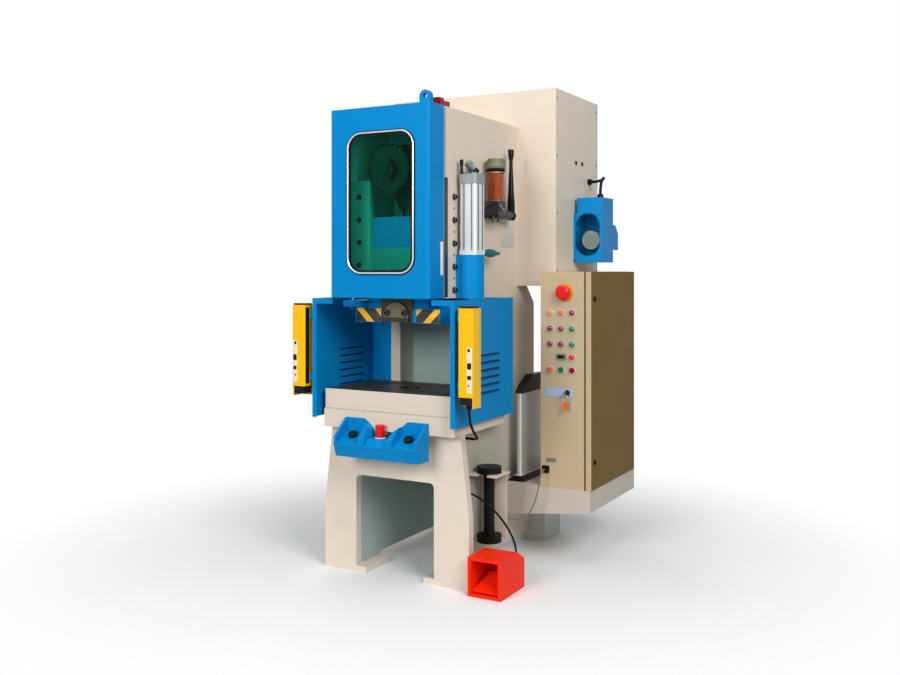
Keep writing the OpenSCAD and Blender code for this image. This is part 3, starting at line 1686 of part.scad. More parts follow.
// Eccentric bush with a collar, a notched setting drum behind the window, and its nut
module eccentric_bush() {
  bush_y = rod_front - rod_play;
  front = bush_y - drum_l;
  color(dark_steel) {
    difference() {
      union() {
        bar_y(front, drum_l + rod_t + 2 * rod_play, bush_d / 2, 0, ecc_z);
        bar_y(bush_y - dog_t, dog_t + eps, dog_r, 0, ecc_z);
        bar_y(front, drum_t, drum_r, 0, ecc_z);
      }
      bar_y(front - 1, rod_t + drum_l + 4 * rod_play + 1, pin_d / 2 + running, 0, pin_z);
      translate([0, 0, ecc_z]) for (a = [0 : dog_step : 359]) rotate([0, a, 0])
        block([-3, front - 1, drum_r - 12], [3, front + 9, drum_r + 1]);
    }
    difference() {
      translate([0, front, pin_z]) rotate([90, 0, 0]) cylinder(h = nut_t, r = nut_r_big, $fn = 6);
      bar_y(front - nut_t - 1, nut_t + 2, stud_r + running, 0, pin_z);
    }
  }
}

module connecting_rod() {
  color(dark_steel) difference() {
    union() {
      bar_y(rod_front, rod_t, big_end_d / 2, 0, ecc_z);
      along_y(ram_y - socket_r, 2 * socket_r) polygon([
        [rod_cheek - big_end_d / 2, ecc_z - rod_neck], [big_end_d / 2 - rod_cheek, ecc_z - rod_neck],
        [socket_r, socket_top - rod_neck], [-socket_r, socket_top - rod_neck]
      ]);
      bar_z(socket_bottom, socket_top - socket_bottom, socket_r, 0, ram_y);
    }
    bar_y(rod_front - 1, rod_t + 2, bush_d / 2 + running, 0, ecc_z);
    bar_z(socket_bottom - 1, screw_top - socket_bottom + 1, screw_d / 2 + running, 0, ram_y);
  }
}

// Ball-ended screw that sets the height of the ram
module adjusting_screw() {
  color(steel) {
    bar_z(ball_z, screw_top - ball_z - 1, screw_d / 2, 0, ram_y);
    translate([0, ram_y, ball_z]) sphere(ball_d / 2);
    bar_z(socket_bottom - collar_drop, collar_t, screw_d / 2 + collar_lip, 0, ram_y);
  }
}

module ram() {
  color(blue) difference() {
    union() {
      block([-ram_w / 2, ram_front, ram_bottom], [ram_w / 2, ram_back, body_bottom + ram_h]);
      block([-flange_w / 2, flange_front, ram_bottom], [flange_w / 2, flange_back, body_bottom]);
      both_sides() block([0, ram_y - ear_w / 2, body_bottom - 1],
                               [balance_x + ear_w / 2, ram_y + ear_w / 2, ear_top]);
    }
    block([-pocket_x, ram_y - pocket_y, pocket_floor],
              [pocket_x, ram_y + pocket_y, body_bottom + ram_h + 1]);
    bar_z(ram_bottom - 1, clamp_h + clamp_lift + 1, shank_d / 2, 0, ram_y);
    block([-clamp_w / 2 - clamp_gap, flange_front - 1, ram_bottom - 1],
              [clamp_w / 2 + clamp_gap, ram_y, ram_bottom + clamp_lift + clamp_h + clamp_gap]);
    both_sides() bar_z(body_bottom - 2, ear_t + 4, thread_r + loose, balance_x, ram_y);
  }
}

// Front half of the tool clamp, with a half-round boss
module shank_clamp() {
  low = ram_bottom + clamp_lift;
  color(dark_steel) difference() {
    union() {
      block([-clamp_w / 2, clamp_front, low], [clamp_w / 2, ram_y, low + clamp_h]);
      intersection() {
        bar_y(clamp_front - boss_t, boss_t + 1, boss_r, 0, boss_z);
        block([-clamp_w, clamp_front - boss_t, low],
                      [clamp_w, clamp_front + 1, low + clamp_h]);
      }
    }
    bar_z(ram_bottom, clamp_h + clamp_lift + 1, shank_d / 2, 0, ram_y);
    for (x = [-clamp_bolt_x, clamp_bolt_x])
      bar_y(clamp_front - boss_t - 1, ram_y - clamp_front + boss_t, clamp_bolt_r, x, clamp_bolt_z);
  }
}

// Balance rods: piston, rod, threaded end and nut on each ear of the ram
module balance_rods() {
  piston_z = balance_top - piston_drop - piston_h;
  color(steel) both_sides() translate([balance_x, ram_y, 0]) {
    bar_z(piston_z, piston_h, balance_bore / 2 - running, 0, 0);
    bar_z(ear_top, piston_z - ear_top + 1, balance_rod_d / 2, 0, 0);
    bar_z(body_bottom - 1 - nut_t / 3, ear_t + nut_t / 3 + 2, thread_r, 0, 0);
    translate([0, 0, body_bottom - 1 - nut_t / 3]) cylinder(h = nut_t / 3, r = nut_r, $fn = 6);
  }
}

frame();
bolster_plate();
flywheel_cover();
gibs();
crank_bushes();
balance_cylinder_left();
balance_cylinder_right();
balance_brackets();
silencers();
pump_body();
oil_bowl();
side_guard_left();
side_guard_right();
light_curtain_left();
light_curtain_right();
curtain_fittings();
console_housing();
cabinet_body();
cabinet_bracket();
pilot_lamps();
panel_fittings();
switchgear();
cable_glands();
pedal_cable();
curtain_cable();
link_cable();
cam_hose();
pedal_housing();
cam_box();
cam_glass();
interlock_switch();
air_reservoir();
cable_spool();
motor();
drive_belts();
crankshaft();
eccentric_bush();
connecting_rod();
adjusting_screw();
ram();
shank_clamp();
balance_rods();
flywheel();
motor_pulley();
cam_dial();
front_cover();
window_pane();
window_seal();
pump_lever();
palm_button_left();
palm_button_right();
console_estop();
pedal_treadle();
cabinet_door();
door_locks();
cabinet_estop();
key_switch();
mode_selector();
start_button();
stop_button();
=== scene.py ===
"""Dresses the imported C-frame press with finishes, cords and small hardware, and sets up the studio.

Sizes are metres in the part's own frame: +X is the operator's right, -Y the operator's side, +Z up.
"""

from __future__ import annotations

import json
import logging
import math
from abc import ABC, abstractmethod
from dataclasses import dataclass, field, replace
from enum import Enum
from typing import ClassVar, Mapping, Optional, Sequence, Union

import bmesh
import bpy
import numpy as np
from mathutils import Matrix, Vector

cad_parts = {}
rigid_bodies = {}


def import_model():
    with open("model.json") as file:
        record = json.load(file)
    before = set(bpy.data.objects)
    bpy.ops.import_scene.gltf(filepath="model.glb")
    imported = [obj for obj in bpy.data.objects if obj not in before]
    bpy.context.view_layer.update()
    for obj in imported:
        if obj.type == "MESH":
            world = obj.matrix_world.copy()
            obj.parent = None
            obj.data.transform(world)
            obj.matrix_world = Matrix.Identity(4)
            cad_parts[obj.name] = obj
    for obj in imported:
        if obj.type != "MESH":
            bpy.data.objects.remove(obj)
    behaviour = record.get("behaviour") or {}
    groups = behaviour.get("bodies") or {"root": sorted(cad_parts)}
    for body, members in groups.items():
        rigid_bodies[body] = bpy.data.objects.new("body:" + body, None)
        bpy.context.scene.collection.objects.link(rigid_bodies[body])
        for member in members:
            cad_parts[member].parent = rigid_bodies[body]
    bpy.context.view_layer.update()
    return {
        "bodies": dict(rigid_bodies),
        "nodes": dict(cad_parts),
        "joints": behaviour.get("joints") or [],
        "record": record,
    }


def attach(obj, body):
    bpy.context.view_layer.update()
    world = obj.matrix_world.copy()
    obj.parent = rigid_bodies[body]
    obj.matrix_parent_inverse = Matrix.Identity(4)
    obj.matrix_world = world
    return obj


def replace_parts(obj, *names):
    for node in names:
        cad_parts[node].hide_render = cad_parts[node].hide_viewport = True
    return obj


LOG = logging.getLogger("press")
IMAGE_WIDTH = 900
Pair = tuple[float, float]
Triple = tuple[float, float, float]
Profile = tuple[Pair, ...]
Range = tuple[Optional[float], Optional[float]]
OPEN: Range = (None, None)
RIGHT, FRONT, BACK, UP = (1, 0, 0), (0, -1, 0), (0, 1, 0), (0, 0, 1)
STEEP = 0.9


class Tone(Enum):
    """Colours of the press as 8-bit display values."""

    CREAM = (224, 209, 192)
    BEIGE = (192, 170, 136)
    # Cabinet beige darkened into painted shade, for the door
    DOOR = (112, 88, 40)
    BLUE = (0, 132, 198)
    PALE_GREY = (194, 184, 172)
    # Painted shade for the throat wall and the insides of the legs
    SHADED_GREEN = (164, 182, 176)
    DEEP_BLUE = (10, 52, 92)
    SEAM = (84, 66, 40)
    PLATE = (206, 205, 198)
    PEDAL_RED = (246, 44, 10)
    YELLOW = (255, 190, 0)
    STEEL = (176, 178, 180)
    HEAD_GREY = (146, 148, 147)
    VALVE_GREY = (112, 117, 113)
    # Cream darkened for the painted shadow on the lower side plates
    SHADOWED_CREAM = (180, 181, 167)
    GROOVE = (96, 94, 96)
    OILED_STEEL = (58, 54, 46)
    OLIVE = (112, 106, 82)
    CAST = (74, 74, 72)
    BRONZE = (196, 150, 84)
    ALUMINIUM = (214, 216, 218)
    CAP_GREY = (116, 115, 96)
    BEZEL = (204, 200, 190)
    STRIP = (240, 226, 190)
    BLACK = (18, 18, 19)
    TEAL = (0, 104, 112)
    RED = (222, 18, 12)
    DARK_RED = (140, 16, 16)
    ORANGE = (246, 96, 24)
    AMBER = (236, 134, 34)
    GREEN = (16, 116, 46)
    OIL = (164, 62, 18)
    WHITE = (240, 240, 238)
    PLATE_BLUE = (168, 182, 206)
    COUNTER_GREY = (120, 118, 108)
    PANE_GREEN = (89, 231, 212)
    CLEAR = (236, 244, 242)

    @property
    def linear(self) -> Triple:
        """The colour in linear light, by the sRGB curve.

        Returns:
            Red, green and blue from 0 to 1.
        """
        c = np.array(self.value) / 255
        r, g, b = np.where(c <= 0.04045, c / 12.92, ((c + 0.055) / 1.055) ** 2.4)
        return float(r), float(g), float(b)


Value = Union["Socket", float, Sequence[float]]


class Socket:
    """Output of a shader node that takes part in arithmetic."""

    def __init__(self, graph: "Graph", socket: bpy.types.NodeSocket) -> None:
        """Keeps the graph and the node's output."""
        self.graph = graph
        self.socket = socket

    def _math(self, operation: str, first: Value, second: Value) -> "Socket":
        """Adds one Math node."""
        return self.graph.node("ShaderNodeMath", {0: first, 1: second}, operation=operation)

    def __add__(self, other: Value) -> "Socket":
        """Sum."""
        return self._math("ADD", self, other)

    __radd__ = __add__

    def __sub__(self, other: Value) -> "Socket":
        """Difference."""
        return self._math("SUBTRACT", self, other)

    def __rsub__(self, other: Value) -> "Socket":
        """Difference the other way round."""
        return self._math("SUBTRACT", other, self)

    def __mul__(self, other: Value) -> "Socket":
        """Product."""
        return self._math("MULTIPLY", self, other)

    __rmul__ = __mul__

    def __truediv__(self, other: Value) -> "Socket":
        """Quotient."""
        return self._math("DIVIDE", self, other)

    def __rtruediv__(self, other: Value) -> "Socket":
        """Quotient the other way round."""
        return self._math("DIVIDE", other, self)

    def __gt__(self, other: Value) -> "Socket":
        """1 where this is more, 0 elsewhere."""
        return self._math("GREATER_THAN", self, other)

    def __lt__(self, other: Value) -> "Socket":
        """1 where this is less, 0 elsewhere."""
        return self._math("LESS_THAN", self, other)

    def size(self) -> "Socket":
        """Value without its sign."""
        return self._math("ABSOLUTE", self, 0.0)

    def wrap(self) -> "Socket":
        """Fraction of the value, which repeats from 0 to 1."""
        return self._math("FRACT", self, 0.0)

    def between(self, low: float, high: float) -> "Socket":
        """Soft step from 0 at the low value to 1 at the high one."""
        inputs = {"Value": self, "From Min": low, "From Max": high}
        return self.graph.node("ShaderNodeMapRange", inputs, interpolation_type="SMOOTHSTEP")


class Graph:
    """Node tree of one material."""

    def __init__(self, name: str) -> None:
        """Starts an empty tree.

        Args:
            name: Name of the material.
        """
        self.material = bpy.data.materials.new(name)
        self.material.use_nodes = True
        self.tree = self.material.node_tree
        self.tree.nodes.clear()

    def node(
        self,
        kind: str,
        inputs: Optional[Mapping[Union[str, int], Value]] = None,
        output: Union[str, int] = 0,
        **settings: object,
    ) -> Socket:
        """Adds any node.

        Args:
            kind: Blender's node type.
            inputs: Links or constants by input name or number.
            output: Name or number of the output wanted.
            **settings: Properties of the node.

        Returns:
            The output.
        """
        made = self.tree.nodes.new(kind)
        for key, setting in settings.items():
            setattr(made, key, setting)
        for key, value in (inputs or {}).items():
            if isinstance(value, Socket):
                self.tree.links.new(value.socket, made.inputs[key])
            else:
                made.inputs[key].default_value = value
        return Socket(self, made.outputs[output])

    def place(self) -> Socket:
        """Place on the object as a vector, in metres."""
        return self.node("ShaderNodeTexCoord", output="Object")

    def axes(self) -> tuple[Socket, ...]:
        """X, Y and Z of the place on the object."""
        split = self.node("ShaderNodeSeparateXYZ", {0: self.place()}).socket.node
        return tuple(Socket(self, output) for output in split.outputs)

    def noise(self, scale: float, detail: float = 2.0, stretch: Sequence[float] = (1, 1, 1)) -> Socket:
        """Smooth noise from 0 to 1, by waves per metre, octaves and a factor along each axis."""
        vector = self.node("ShaderNodeMapping", {"Vector": self.place(), "Scale": stretch})
        return self.node("ShaderNodeTexNoise", {"Vector": vector, "Scale": scale, "Detail": detail}, "Fac")

    def mix(self, factor: Value, first: Value, second: Value) -> Socket:
        """Mixes two colours: a factor of 0 gives the first, and 1 the second."""
        a, b = (v if isinstance(v, Socket) else (*v, 1.0) for v in (first, second))
        return self.node("ShaderNodeMix", {0: factor, 6: a, 7: b}, 2, data_type="RGBA", clamp_factor=True)

    def blend(self, factor: Value, first: Value, second: Value) -> Socket:
        """Mixes two numbers: a factor of 0 gives the first, and 1 the second."""
        return self.node("ShaderNodeMix", {0: factor, 2: first, 3: second}, 0, data_type="FLOAT")

    def bump(self, height: Socket, strength: float, distance: float = 0.001) -> Socket:
        """Turns a height into a surface direction; the distance is a height of 1, in metres."""
        inputs = {"Height": height, "Strength": strength, "Distance": distance}
        return self.node("ShaderNodeBump", inputs, "Normal")

    def close(self, inputs: Mapping[str, Value]) -> bpy.types.Material:
        """Ends the tree with one surface shader.

        Args:
            inputs: Links or constants by the shader's input name.

        Returns:
            The material.
        """
        plain = {k: (*v, 1.0) if k.endswith("Color") and not isinstance(v, Socket) else v
                 for k, v in inputs.items()}
        shader = self.node("ShaderNodeBsdfPrincipled", plain)
        end = self.tree.nodes.new("ShaderNodeOutputMaterial")
        self.tree.links.new(shader.socket, end.inputs["Surface"])
        return self.material


def inside(*spans: tuple[Socket, Range]) -> Socket:
    """Where every value is inside its range.

    Args:
        *spans: Values with their lowest and highest limit; None leaves a side open.

    Returns:
        A socket that is 1 inside and 0 outside.
    """
    tests = [value > low for value, (low, _) in spans if low is not None]
    tests += [value < high for value, (_, high) in spans if high is not None]
    return math.prod(tests[1:], start=tests[0])


@dataclass(frozen=True)
class Patch(ABC):
    """Part of a surface that has another look.

    Attributes:
        tone: Colour there.
        roughness: Roughness there.
        metallic: Metallic value there.
    """

    tone: Tone
    roughness: float
    metallic: float = 0.0

    @abstractmethod
    def mask(self, graph: Graph) -> Socket:
        """Where the patch is.

        Args:
            graph: The material's graph.

        Returns:
            A socket that is 1 inside and 0 outside.
        """


@dataclass(frozen=True, kw_only=True)
class Zone(Patch):
    """A box on the object.

    Attributes:
        x: Range along X.
        y: Range along Y.
        z: Range along Z.
    """

    x: Range = OPEN
    y: Range = OPEN
    z: Range = OPEN

    def mask(self, graph: Graph) -> Socket:
        """Where the box is."""
        return inside(*zip(graph.axes(), (self.x, self.y, self.z)))


@dataclass(frozen=True, kw_only=True)
class Grooves(Patch):
    """Grooves along the faces of the two upright square tubes, which mirror each other in X.

    Attributes:
        axis: Distance of a tube's axis from the middle plane, and its place in depth.
        face: Distance from the axis beyond which a face lies.
        span: Nearest and farthest side of a groove from the middle of its face.
        rise: Lowest and highest point.
    """

    axis: Pair
    face: float
    span: Pair
    rise: Pair

    def mask(self, graph: Graph) -> Socket:
        """Where the grooves are: near a quarter of the width on one axis and at a face on the other.

        Args:
            graph: The material's graph.

        Returns:
            A socket that is 1 inside and 0 outside.
        """
        x, y, z = graph.axes()
        wide, deep = (x.size() - self.axis[0]).size(), (y - self.axis[1]).size()
        face = (self.face, None)
        band = inside((wide, self.span), (deep, face)) + inside((deep, self.span), (wide, face))
        return band * inside((z, self.rise))


@dataclass(frozen=True, kw_only=True)
class PaintedShadow(Patch):
    """Painted shadow low on the outer faces of both side plates, below the side guards.

    Attributes:
        plate: Nearest and farthest distance of the faces from the middle plane.
        rise: Height up to which it is full, and height at which it ends.
        depth: Depth up to which it is full, and depth at which it ends.
        front: Depth behind which it starts, at the leg plate's back.
    """

    plate: Pair
    rise: Pair
    depth: Pair
    front: float

    def mask(self, graph: Graph) -> Socket:
        """Where the painted shadow is: on the faces, with soft steps upwards and backwards.

        Args:
            graph: The material's graph.

        Returns:
            A socket from 0 to 1.
        """
        x, y, z = graph.axes()
        soft = (1.0 - z.between(*self.rise)) * (1.0 - y.between(*self.depth))
        return soft * inside((x.size(), self.plate), (y, (self.front, None)))


@dataclass(frozen=True, kw_only=True)
class Hoods(Patch):
    """Shade under the louvre hoods on both sides of the press.

    Attributes:
        face: Distance of a guard's outer face from the middle plane.
        depth: Front and back of the rows.
        lowest: Lower edge of the lowest hood.
        pitch: Distance between hoods.
        count: Number of hoods in a row.
        share: Part of the pitch that is in shade.
    """

    face: float
    depth: Pair
    lowest: float
    pitch: float
    count: int
    share: float

    def mask(self, graph: Graph) -> Socket:
        """Where the shade is: beyond the face, in the lower share of each pitch of the row.

        Args:
            graph: The material's graph.

        Returns:
            A socket that is 1 inside and 0 outside.
        """
        x, y, z = graph.axes()
        row = (z - self.lowest) / self.pitch
        return inside((x.size(), (self.face, None)), (y, self.depth), (row, (0.0, self.count)),
                      (row.wrap(), (None, self.share)))


class Look(ABC):
    """How a surface looks."""

    @abstractmethod
    def inputs(self, graph: Graph) -> dict[str, Value]:
        """Works out the shader's inputs.

        Args:
            graph: The material's graph.

        Returns:
            Links or constants by input name.
        """

    def build(self, name: str) -> bpy.types.Material:
        """Makes the material of that name."""
        graph = Graph(name)
        return graph.close(self.inputs(graph))


@dataclass(frozen=True)
class Finish(Look):
    """A surface with mottled colour, uneven gloss and a fine texture.

    Attributes:
        tone: Main colour.
        roughness: Mean roughness.
        metallic: Metallic value.
        coat: Weight of the clear coat.
        mottle: Share by which the colour varies over the surface.
        grain: Waves per metre of the fine texture.
        relief: Strength of the fine texture.
        stretch: Direction of the fine texture, as a factor per axis.
        grime: Share by which the lowest part near the floor is soiled.
        shine: Level of the mirror reflection, 0.5 for common plastic.
        zones: Places with another look.
        SOIL: Share of the colour's light that soil leaves.
        UNEVEN: Share by which the roughness varies.
        COAT_ROUGHNESS: Roughness of the clear coat.
    """

    tone: Tone
    roughness: float = 0.4
    metallic: float = 0.0
    coat: float = 0.0
    mottle: float = 0.06
    grain: float = 400.0
    relief: float = 0.08
    stretch: Triple = (1.0, 1.0, 1.0)
    grime: float = 0.0
    shine: float = 0.2
    zones: tuple[Patch, ...] = ()
    SOIL: ClassVar[float] = 0.35
    UNEVEN: ClassVar[float] = 0.18
    COAT_ROUGHNESS: ClassVar[float] = 0.12

    def colour(self, graph: Graph) -> Socket:
        """Colour all over the surface.

        Args:
            graph: The material's graph.

        Returns:
            A colour socket.
        """
        base = np.array(self.tone.linear)
        cloud = graph.noise(scale=3.0, detail=4.0)
        shade = graph.mix(cloud, base * (1 - self.mottle), np.minimum(base * (1 + self.mottle), 1.0))
        if self.grime:
            _, _, z = graph.axes()
            speck = graph.noise(scale=11.0, detail=3.0).between(low=0.40, high=0.80)
            near = 1 - z.between(low=0.02, high=0.5)
            shade = graph.mix(speck * near * self.grime, shade, base * self.SOIL)
        for zone in self.zones:
            shade = graph.mix(zone.mask(graph), shade, zone.tone.linear)
        return shade

    def inputs(self, graph: Graph) -> dict[str, Value]:
        """Works out the shader's inputs.

        Args:
            graph: The material's graph.

        Returns:
            Links or constants by input name.
        """
        fine = graph.noise(self.grain, detail=3.0, stretch=self.stretch)
        smooth, rough = self.roughness * (1 - self.UNEVEN), self.roughness * (1 + self.UNEVEN)
        gloss = graph.blend(graph.noise(scale=9.0, detail=5.0), smooth, rough)
        metal: Value = self.metallic
        for zone in self.zones:
            mask = zone.mask(graph)
            gloss = graph.blend(mask, gloss, zone.roughness)
            metal = graph.blend(mask, metal, zone.metallic)
        return {
            "Base Color": self.colour(graph),
            "Roughness": gloss,
            "Metallic": metal,
            "Specular IOR Level": self.shine,
            "Coat Weight": self.coat,
            "Coat Roughness": self.COAT_ROUGHNESS,
            "Normal": graph.bump(fine, self.relief),
        }


@dataclass(frozen=True)
class Pane(Look):
    """Clear sheet or clear moulding.

    Attributes:
        tone: Tint of the light that passes.
        roughness: Roughness of its faces.
        index: Index of refraction, which also sets how much its faces mirror.
    """

    tone: Tone
    roughness: float = 0.04
    index: float = 1.12

    def inputs(self, graph: Graph) -> dict[str, Value]:
        """Works out the shader's inputs.

        Args:
            graph: The material's graph.

        Returns:
            Links or constants by input name.
        """
        base = np.array(self.tone.linear)
        wave, smear = graph.noise(scale=14.0), graph.noise(scale=22.0, detail=4.0)
        return {
            "Base Color": graph.mix(wave, base * 0.94, base),
            "Roughness": graph.blend(smear, self.roughness * 0.6, self.roughness * 1.4),
            "IOR": self.index,
            "Transmission Weight": 1.0,
            "Normal": graph.bump(wave, strength=0.02),
        }


@dataclass(frozen=True)
class Lens(Look):
    """Coloured lamp lens with a little light of its own.

    Attributes:
        tone: Colour of the lens.
        glow: Strength of its own light.
    """

    tone: Tone
    glow: float = 0.06

    def inputs(self, graph: Graph) -> dict[str, Value]:
        """Works out the shader's inputs.

        Args:
            graph: The material's graph.

        Returns:
            Links or constants by input name.
        """
        base = np.array(self.tone.linear)
        facet = graph.noise(scale=520.0, detail=1.0)
        colour = graph.mix(facet, base * 0.75, np.minimum(base * 1.2, 1.0))
        return {
            "Base Color": colour,
            "Roughness": graph.blend(facet, 0.12, 0.22),
            "Emission Color": colour,
            "Emission Strength": self.glow,
            "Coat Weight": 0.5,
            "Normal": graph.bump(facet, strength=0.12),
        }


@dataclass(frozen=True)
class Stripes(Look):
    """Slanted hazard stripes with scuffed edges.

    Attributes:
        pitch: Width of one pair of stripes along X.
        lean: Sideways shift per height.
        start: Place of the first yellow stripe along X, at height 0.
        share: Share of the yellow stripe.
    """

    pitch: float
    lean: float
    start: float
    share: float = 0.38

    def inputs(self, graph: Graph) -> dict[str, Value]:
        """Works out the shader's inputs.

        Args:
            graph: The material's graph.

        Returns:
            Links or constants by input name.
        """
        x, _, z = graph.axes()
        band = ((x - self.start + z * self.lean) / self.pitch).wrap() > self.share
        scuff = graph.noise(scale=120.0, detail=6.0).between(low=0.58, high=0.74)
        yellow = graph.mix(scuff * 0.5, Tone.YELLOW.linear, Tone.OILED_STEEL.linear)
        return {
            "Base Color": graph.mix(band, yellow, Tone.BLACK.linear),
            "Roughness": graph.blend(scuff, 0.34, 0.6),
            "Coat Weight": 0.1,
            "Normal": graph.bump(graph.noise(scale=300.0, detail=3.0), strength=0.05),
        }


class Form:
    """Vertices and faces of one surface."""

    def __init__(self, verts: np.ndarray, faces: list[list[int]]) -> None:
        """Keeps the points, one per row, and the vertex numbers of each face."""
        self.verts = verts
        self.faces = faces

    @classmethod
    def loft(cls, rings: np.ndarray, capped: bool = True, closed: bool = False) -> "Form":
        """Skins a row of rings with one quad between each two neighbours on two rings.

        Args:
            rings: Points by ring and by place on the ring.
            capped: Whether the first and last ring get a face.
            closed: Whether the last ring joins the first.

        Returns:
            The form.
        """
        count, sides, _ = rings.shape
        first = np.arange(count if closed else count - 1)[:, None] * sides
        step = np.arange(sides)[None, :]
        total = count * sides
        a, b = first + step, first + (step + 1) % sides
        quads = np.stack([a, b, (b + sides) % total, (a + sides) % total], -1).reshape(-1, 4).tolist()
        if capped and not closed:
            quads += [list(range(sides - 1, -1, -1)), list(range(total - sides, total))]
        return cls(rings.reshape(-1, 3), quads)

    @classmethod
    def merge(cls, forms: Sequence["Form"]) -> "Form":
        """Puts several forms in one.

        Args:
            forms: The forms.

        Returns:
            One form.
        """
        starts = np.cumsum([0] + [len(f.verts) for f in forms])
        faces = [[i + int(s) for i in face] for f, s in zip(forms, starts) for face in f.faces]
        return cls(np.vstack([f.verts for f in forms]), faces)

    def at(self, places: Sequence[Sequence[float]]) -> "Form":
        """One form with a copy at each shift."""
        return Form.merge([Form(self.verts + np.array(p), self.faces) for p in places])

    def mirrored(self) -> "Form":
        """One form with the mirror image in X."""
        return Form.merge([self, Form(self.verts * [-1, 1, 1], self.faces)])


def unit(vector: Sequence[float]) -> np.ndarray:
    """The same direction with length 1."""
    v = np.array(vector, float)
    return v / np.linalg.norm(v)


def across(axis: Sequence[float]) -> tuple[np.ndarray, np.ndarray, np.ndarray]:
    """Two directions across an axis, and the axis.

    Args:
        axis: Direction.

    Returns:
        Three unit vectors at right angles, right-handed.
    """
    w = unit(axis)
    u = unit(np.cross(UP if abs(w[2]) < STEEP else BACK, w))
    return u, np.cross(w, u), w


def polygon(sides: int, radius: float) -> np.ndarray:
    """Corners of a regular outline: equal steps of angle on a circle."""
    turn = np.linspace(0, 2 * math.pi, sides, endpoint=False)
    return radius * np.stack([np.cos(turn), np.sin(turn)], -1)


def spread(outline: np.ndarray, axis: Sequence[float]) -> np.ndarray:
    """Outline laid across an axis: its columns times the two directions across, added up."""
    return outline @ np.stack(across(axis)[:2])


def lathe(profile: Sequence[Sequence[float]], centre: Sequence[float], axis: Sequence[float],
          sides: int = 40) -> Form:
    """Turned form: each radius and height of the profile is a circle about the axis, from the centre up."""
    radius, height = np.array(profile, float).T[:, :, None, None]
    return Form.loft(np.array(centre) + height * unit(axis) + radius * spread(polygon(sides, 1.0), axis))


def prism(outline: np.ndarray, centre: Sequence[float], axis: Sequence[float], depth: float,
          bevel: float = 0.0008) -> Form:
    """Plate of any outline: the outline at the back and below the bevel, and shrunk at the front.

    Args:
        outline: Points across the axis.
        centre: Place of the outline's origin, on the back face.
        axis: Direction of thickness.
        depth: Thickness.
        bevel: Width of the bevel at the front rim.

    Returns:
        The form.
    """
    flat, w = spread(outline, axis), unit(axis)
    shrink = 1 - bevel / np.abs(outline).max(0).min()
    rings = np.stack([flat, flat + (depth - bevel) * w, flat * shrink + depth * w])
    return Form.loft(rings + np.array(centre))


def plate(size: Triple, centre: Sequence[float], axis: Sequence[float], corner: float = 0.002,
          bevel: float = 0.0008) -> Form:
    """Round-cornered plate of a width, height and thickness, on the middle of its back face."""
    width, height, thickness = size
    return prism(round_rect(width, height, corner), centre, axis, thickness, bevel)


def round_rect(width: float, height: float, radius: float, steps: int = 8) -> np.ndarray:
    """Rectangle with round corners: a quarter of a circle about the middle of each corner.

    Args:
        width: Size along the first axis.
        height: Size along the second axis.
        radius: Corner radius.
        steps: Points on a corner, less one.

    Returns:
        The points, counter-clockwise.
    """
    quarter = np.linspace(0, math.pi / 2, steps + 1)
    arc = radius * np.stack([np.cos(quarter), np.sin(quarter)], -1)
    turned = [arc, arc[:, ::-1] * [-1, 1], -arc, arc[:, ::-1] * [1, -1]]
    signs = np.array([[1, 1], [-1, 1], [-1, -1], [1, -1]])
    middle = signs * [width / 2 - radius, height / 2 - radius]
    return np.vstack([m + t for m, t in zip(middle, turned)])


def sweep(path: np.ndarray, radius: Union[float, np.ndarray], sides: int = 20,
          closed: bool = False) -> Form:
    """Tube that doesn't twist: a circle across the path at each point.

    The circle's first direction is that of the point before, less its part along the path.

    Args:
        path: Points of the middle line.
        radius: One radius, or one for each point.
        sides: Points on each ring.
        closed: Whether the path is a loop.

    Returns:
        The form.
    """
    if closed:
        way = np.roll(path, -1, 0) - np.roll(path, 1, 0)
    else:
        way = np.gradient(path, axis=0)
    way /= np.linalg.norm(way, axis=1, keepdims=True)
    side = [across(way[0])[0]]
    for direction in way[1:]:
        side.append(unit(side[-1] - side[-1].dot(direction) * direction))
    u = np.array(side)
    v = np.cross(way, u)
    turn = np.linspace(0, 2 * math.pi, sides, endpoint=False)
    ring = np.cos(turn)[None, :, None] * u[:, None] + np.sin(turn)[None, :, None] * v[:, None]
    size = np.broadcast_to(radius, len(path))[:, None, None]
    return Form.loft(path[:, None] + size * ring, not closed, closed)


def curve(start: Sequence[float], pull: Sequence[float], push: Sequence[float], end: Sequence[float],
          count: int = 24) -> np.ndarray:
    """Cubic curve: the four points weighted by u^3, 3tu^2, 3t^2u and t^3, where u is 1 - t.

    Args:
        start: First point.
        pull: Point towards which the curve leaves it.
        push: Point from which the curve reaches the end.
        end: Last point.
        count: Steps.

    Returns:
        The points.
    """
    t = np.linspace(0, 1, count + 1)[:, None]
    u = 1 - t
    p, a, b, q = (np.array(v, float) for v in (start, pull, push, end))
    return u * u * (u * p + 3 * t * a) + t * t * (3 * u * b + t * q)


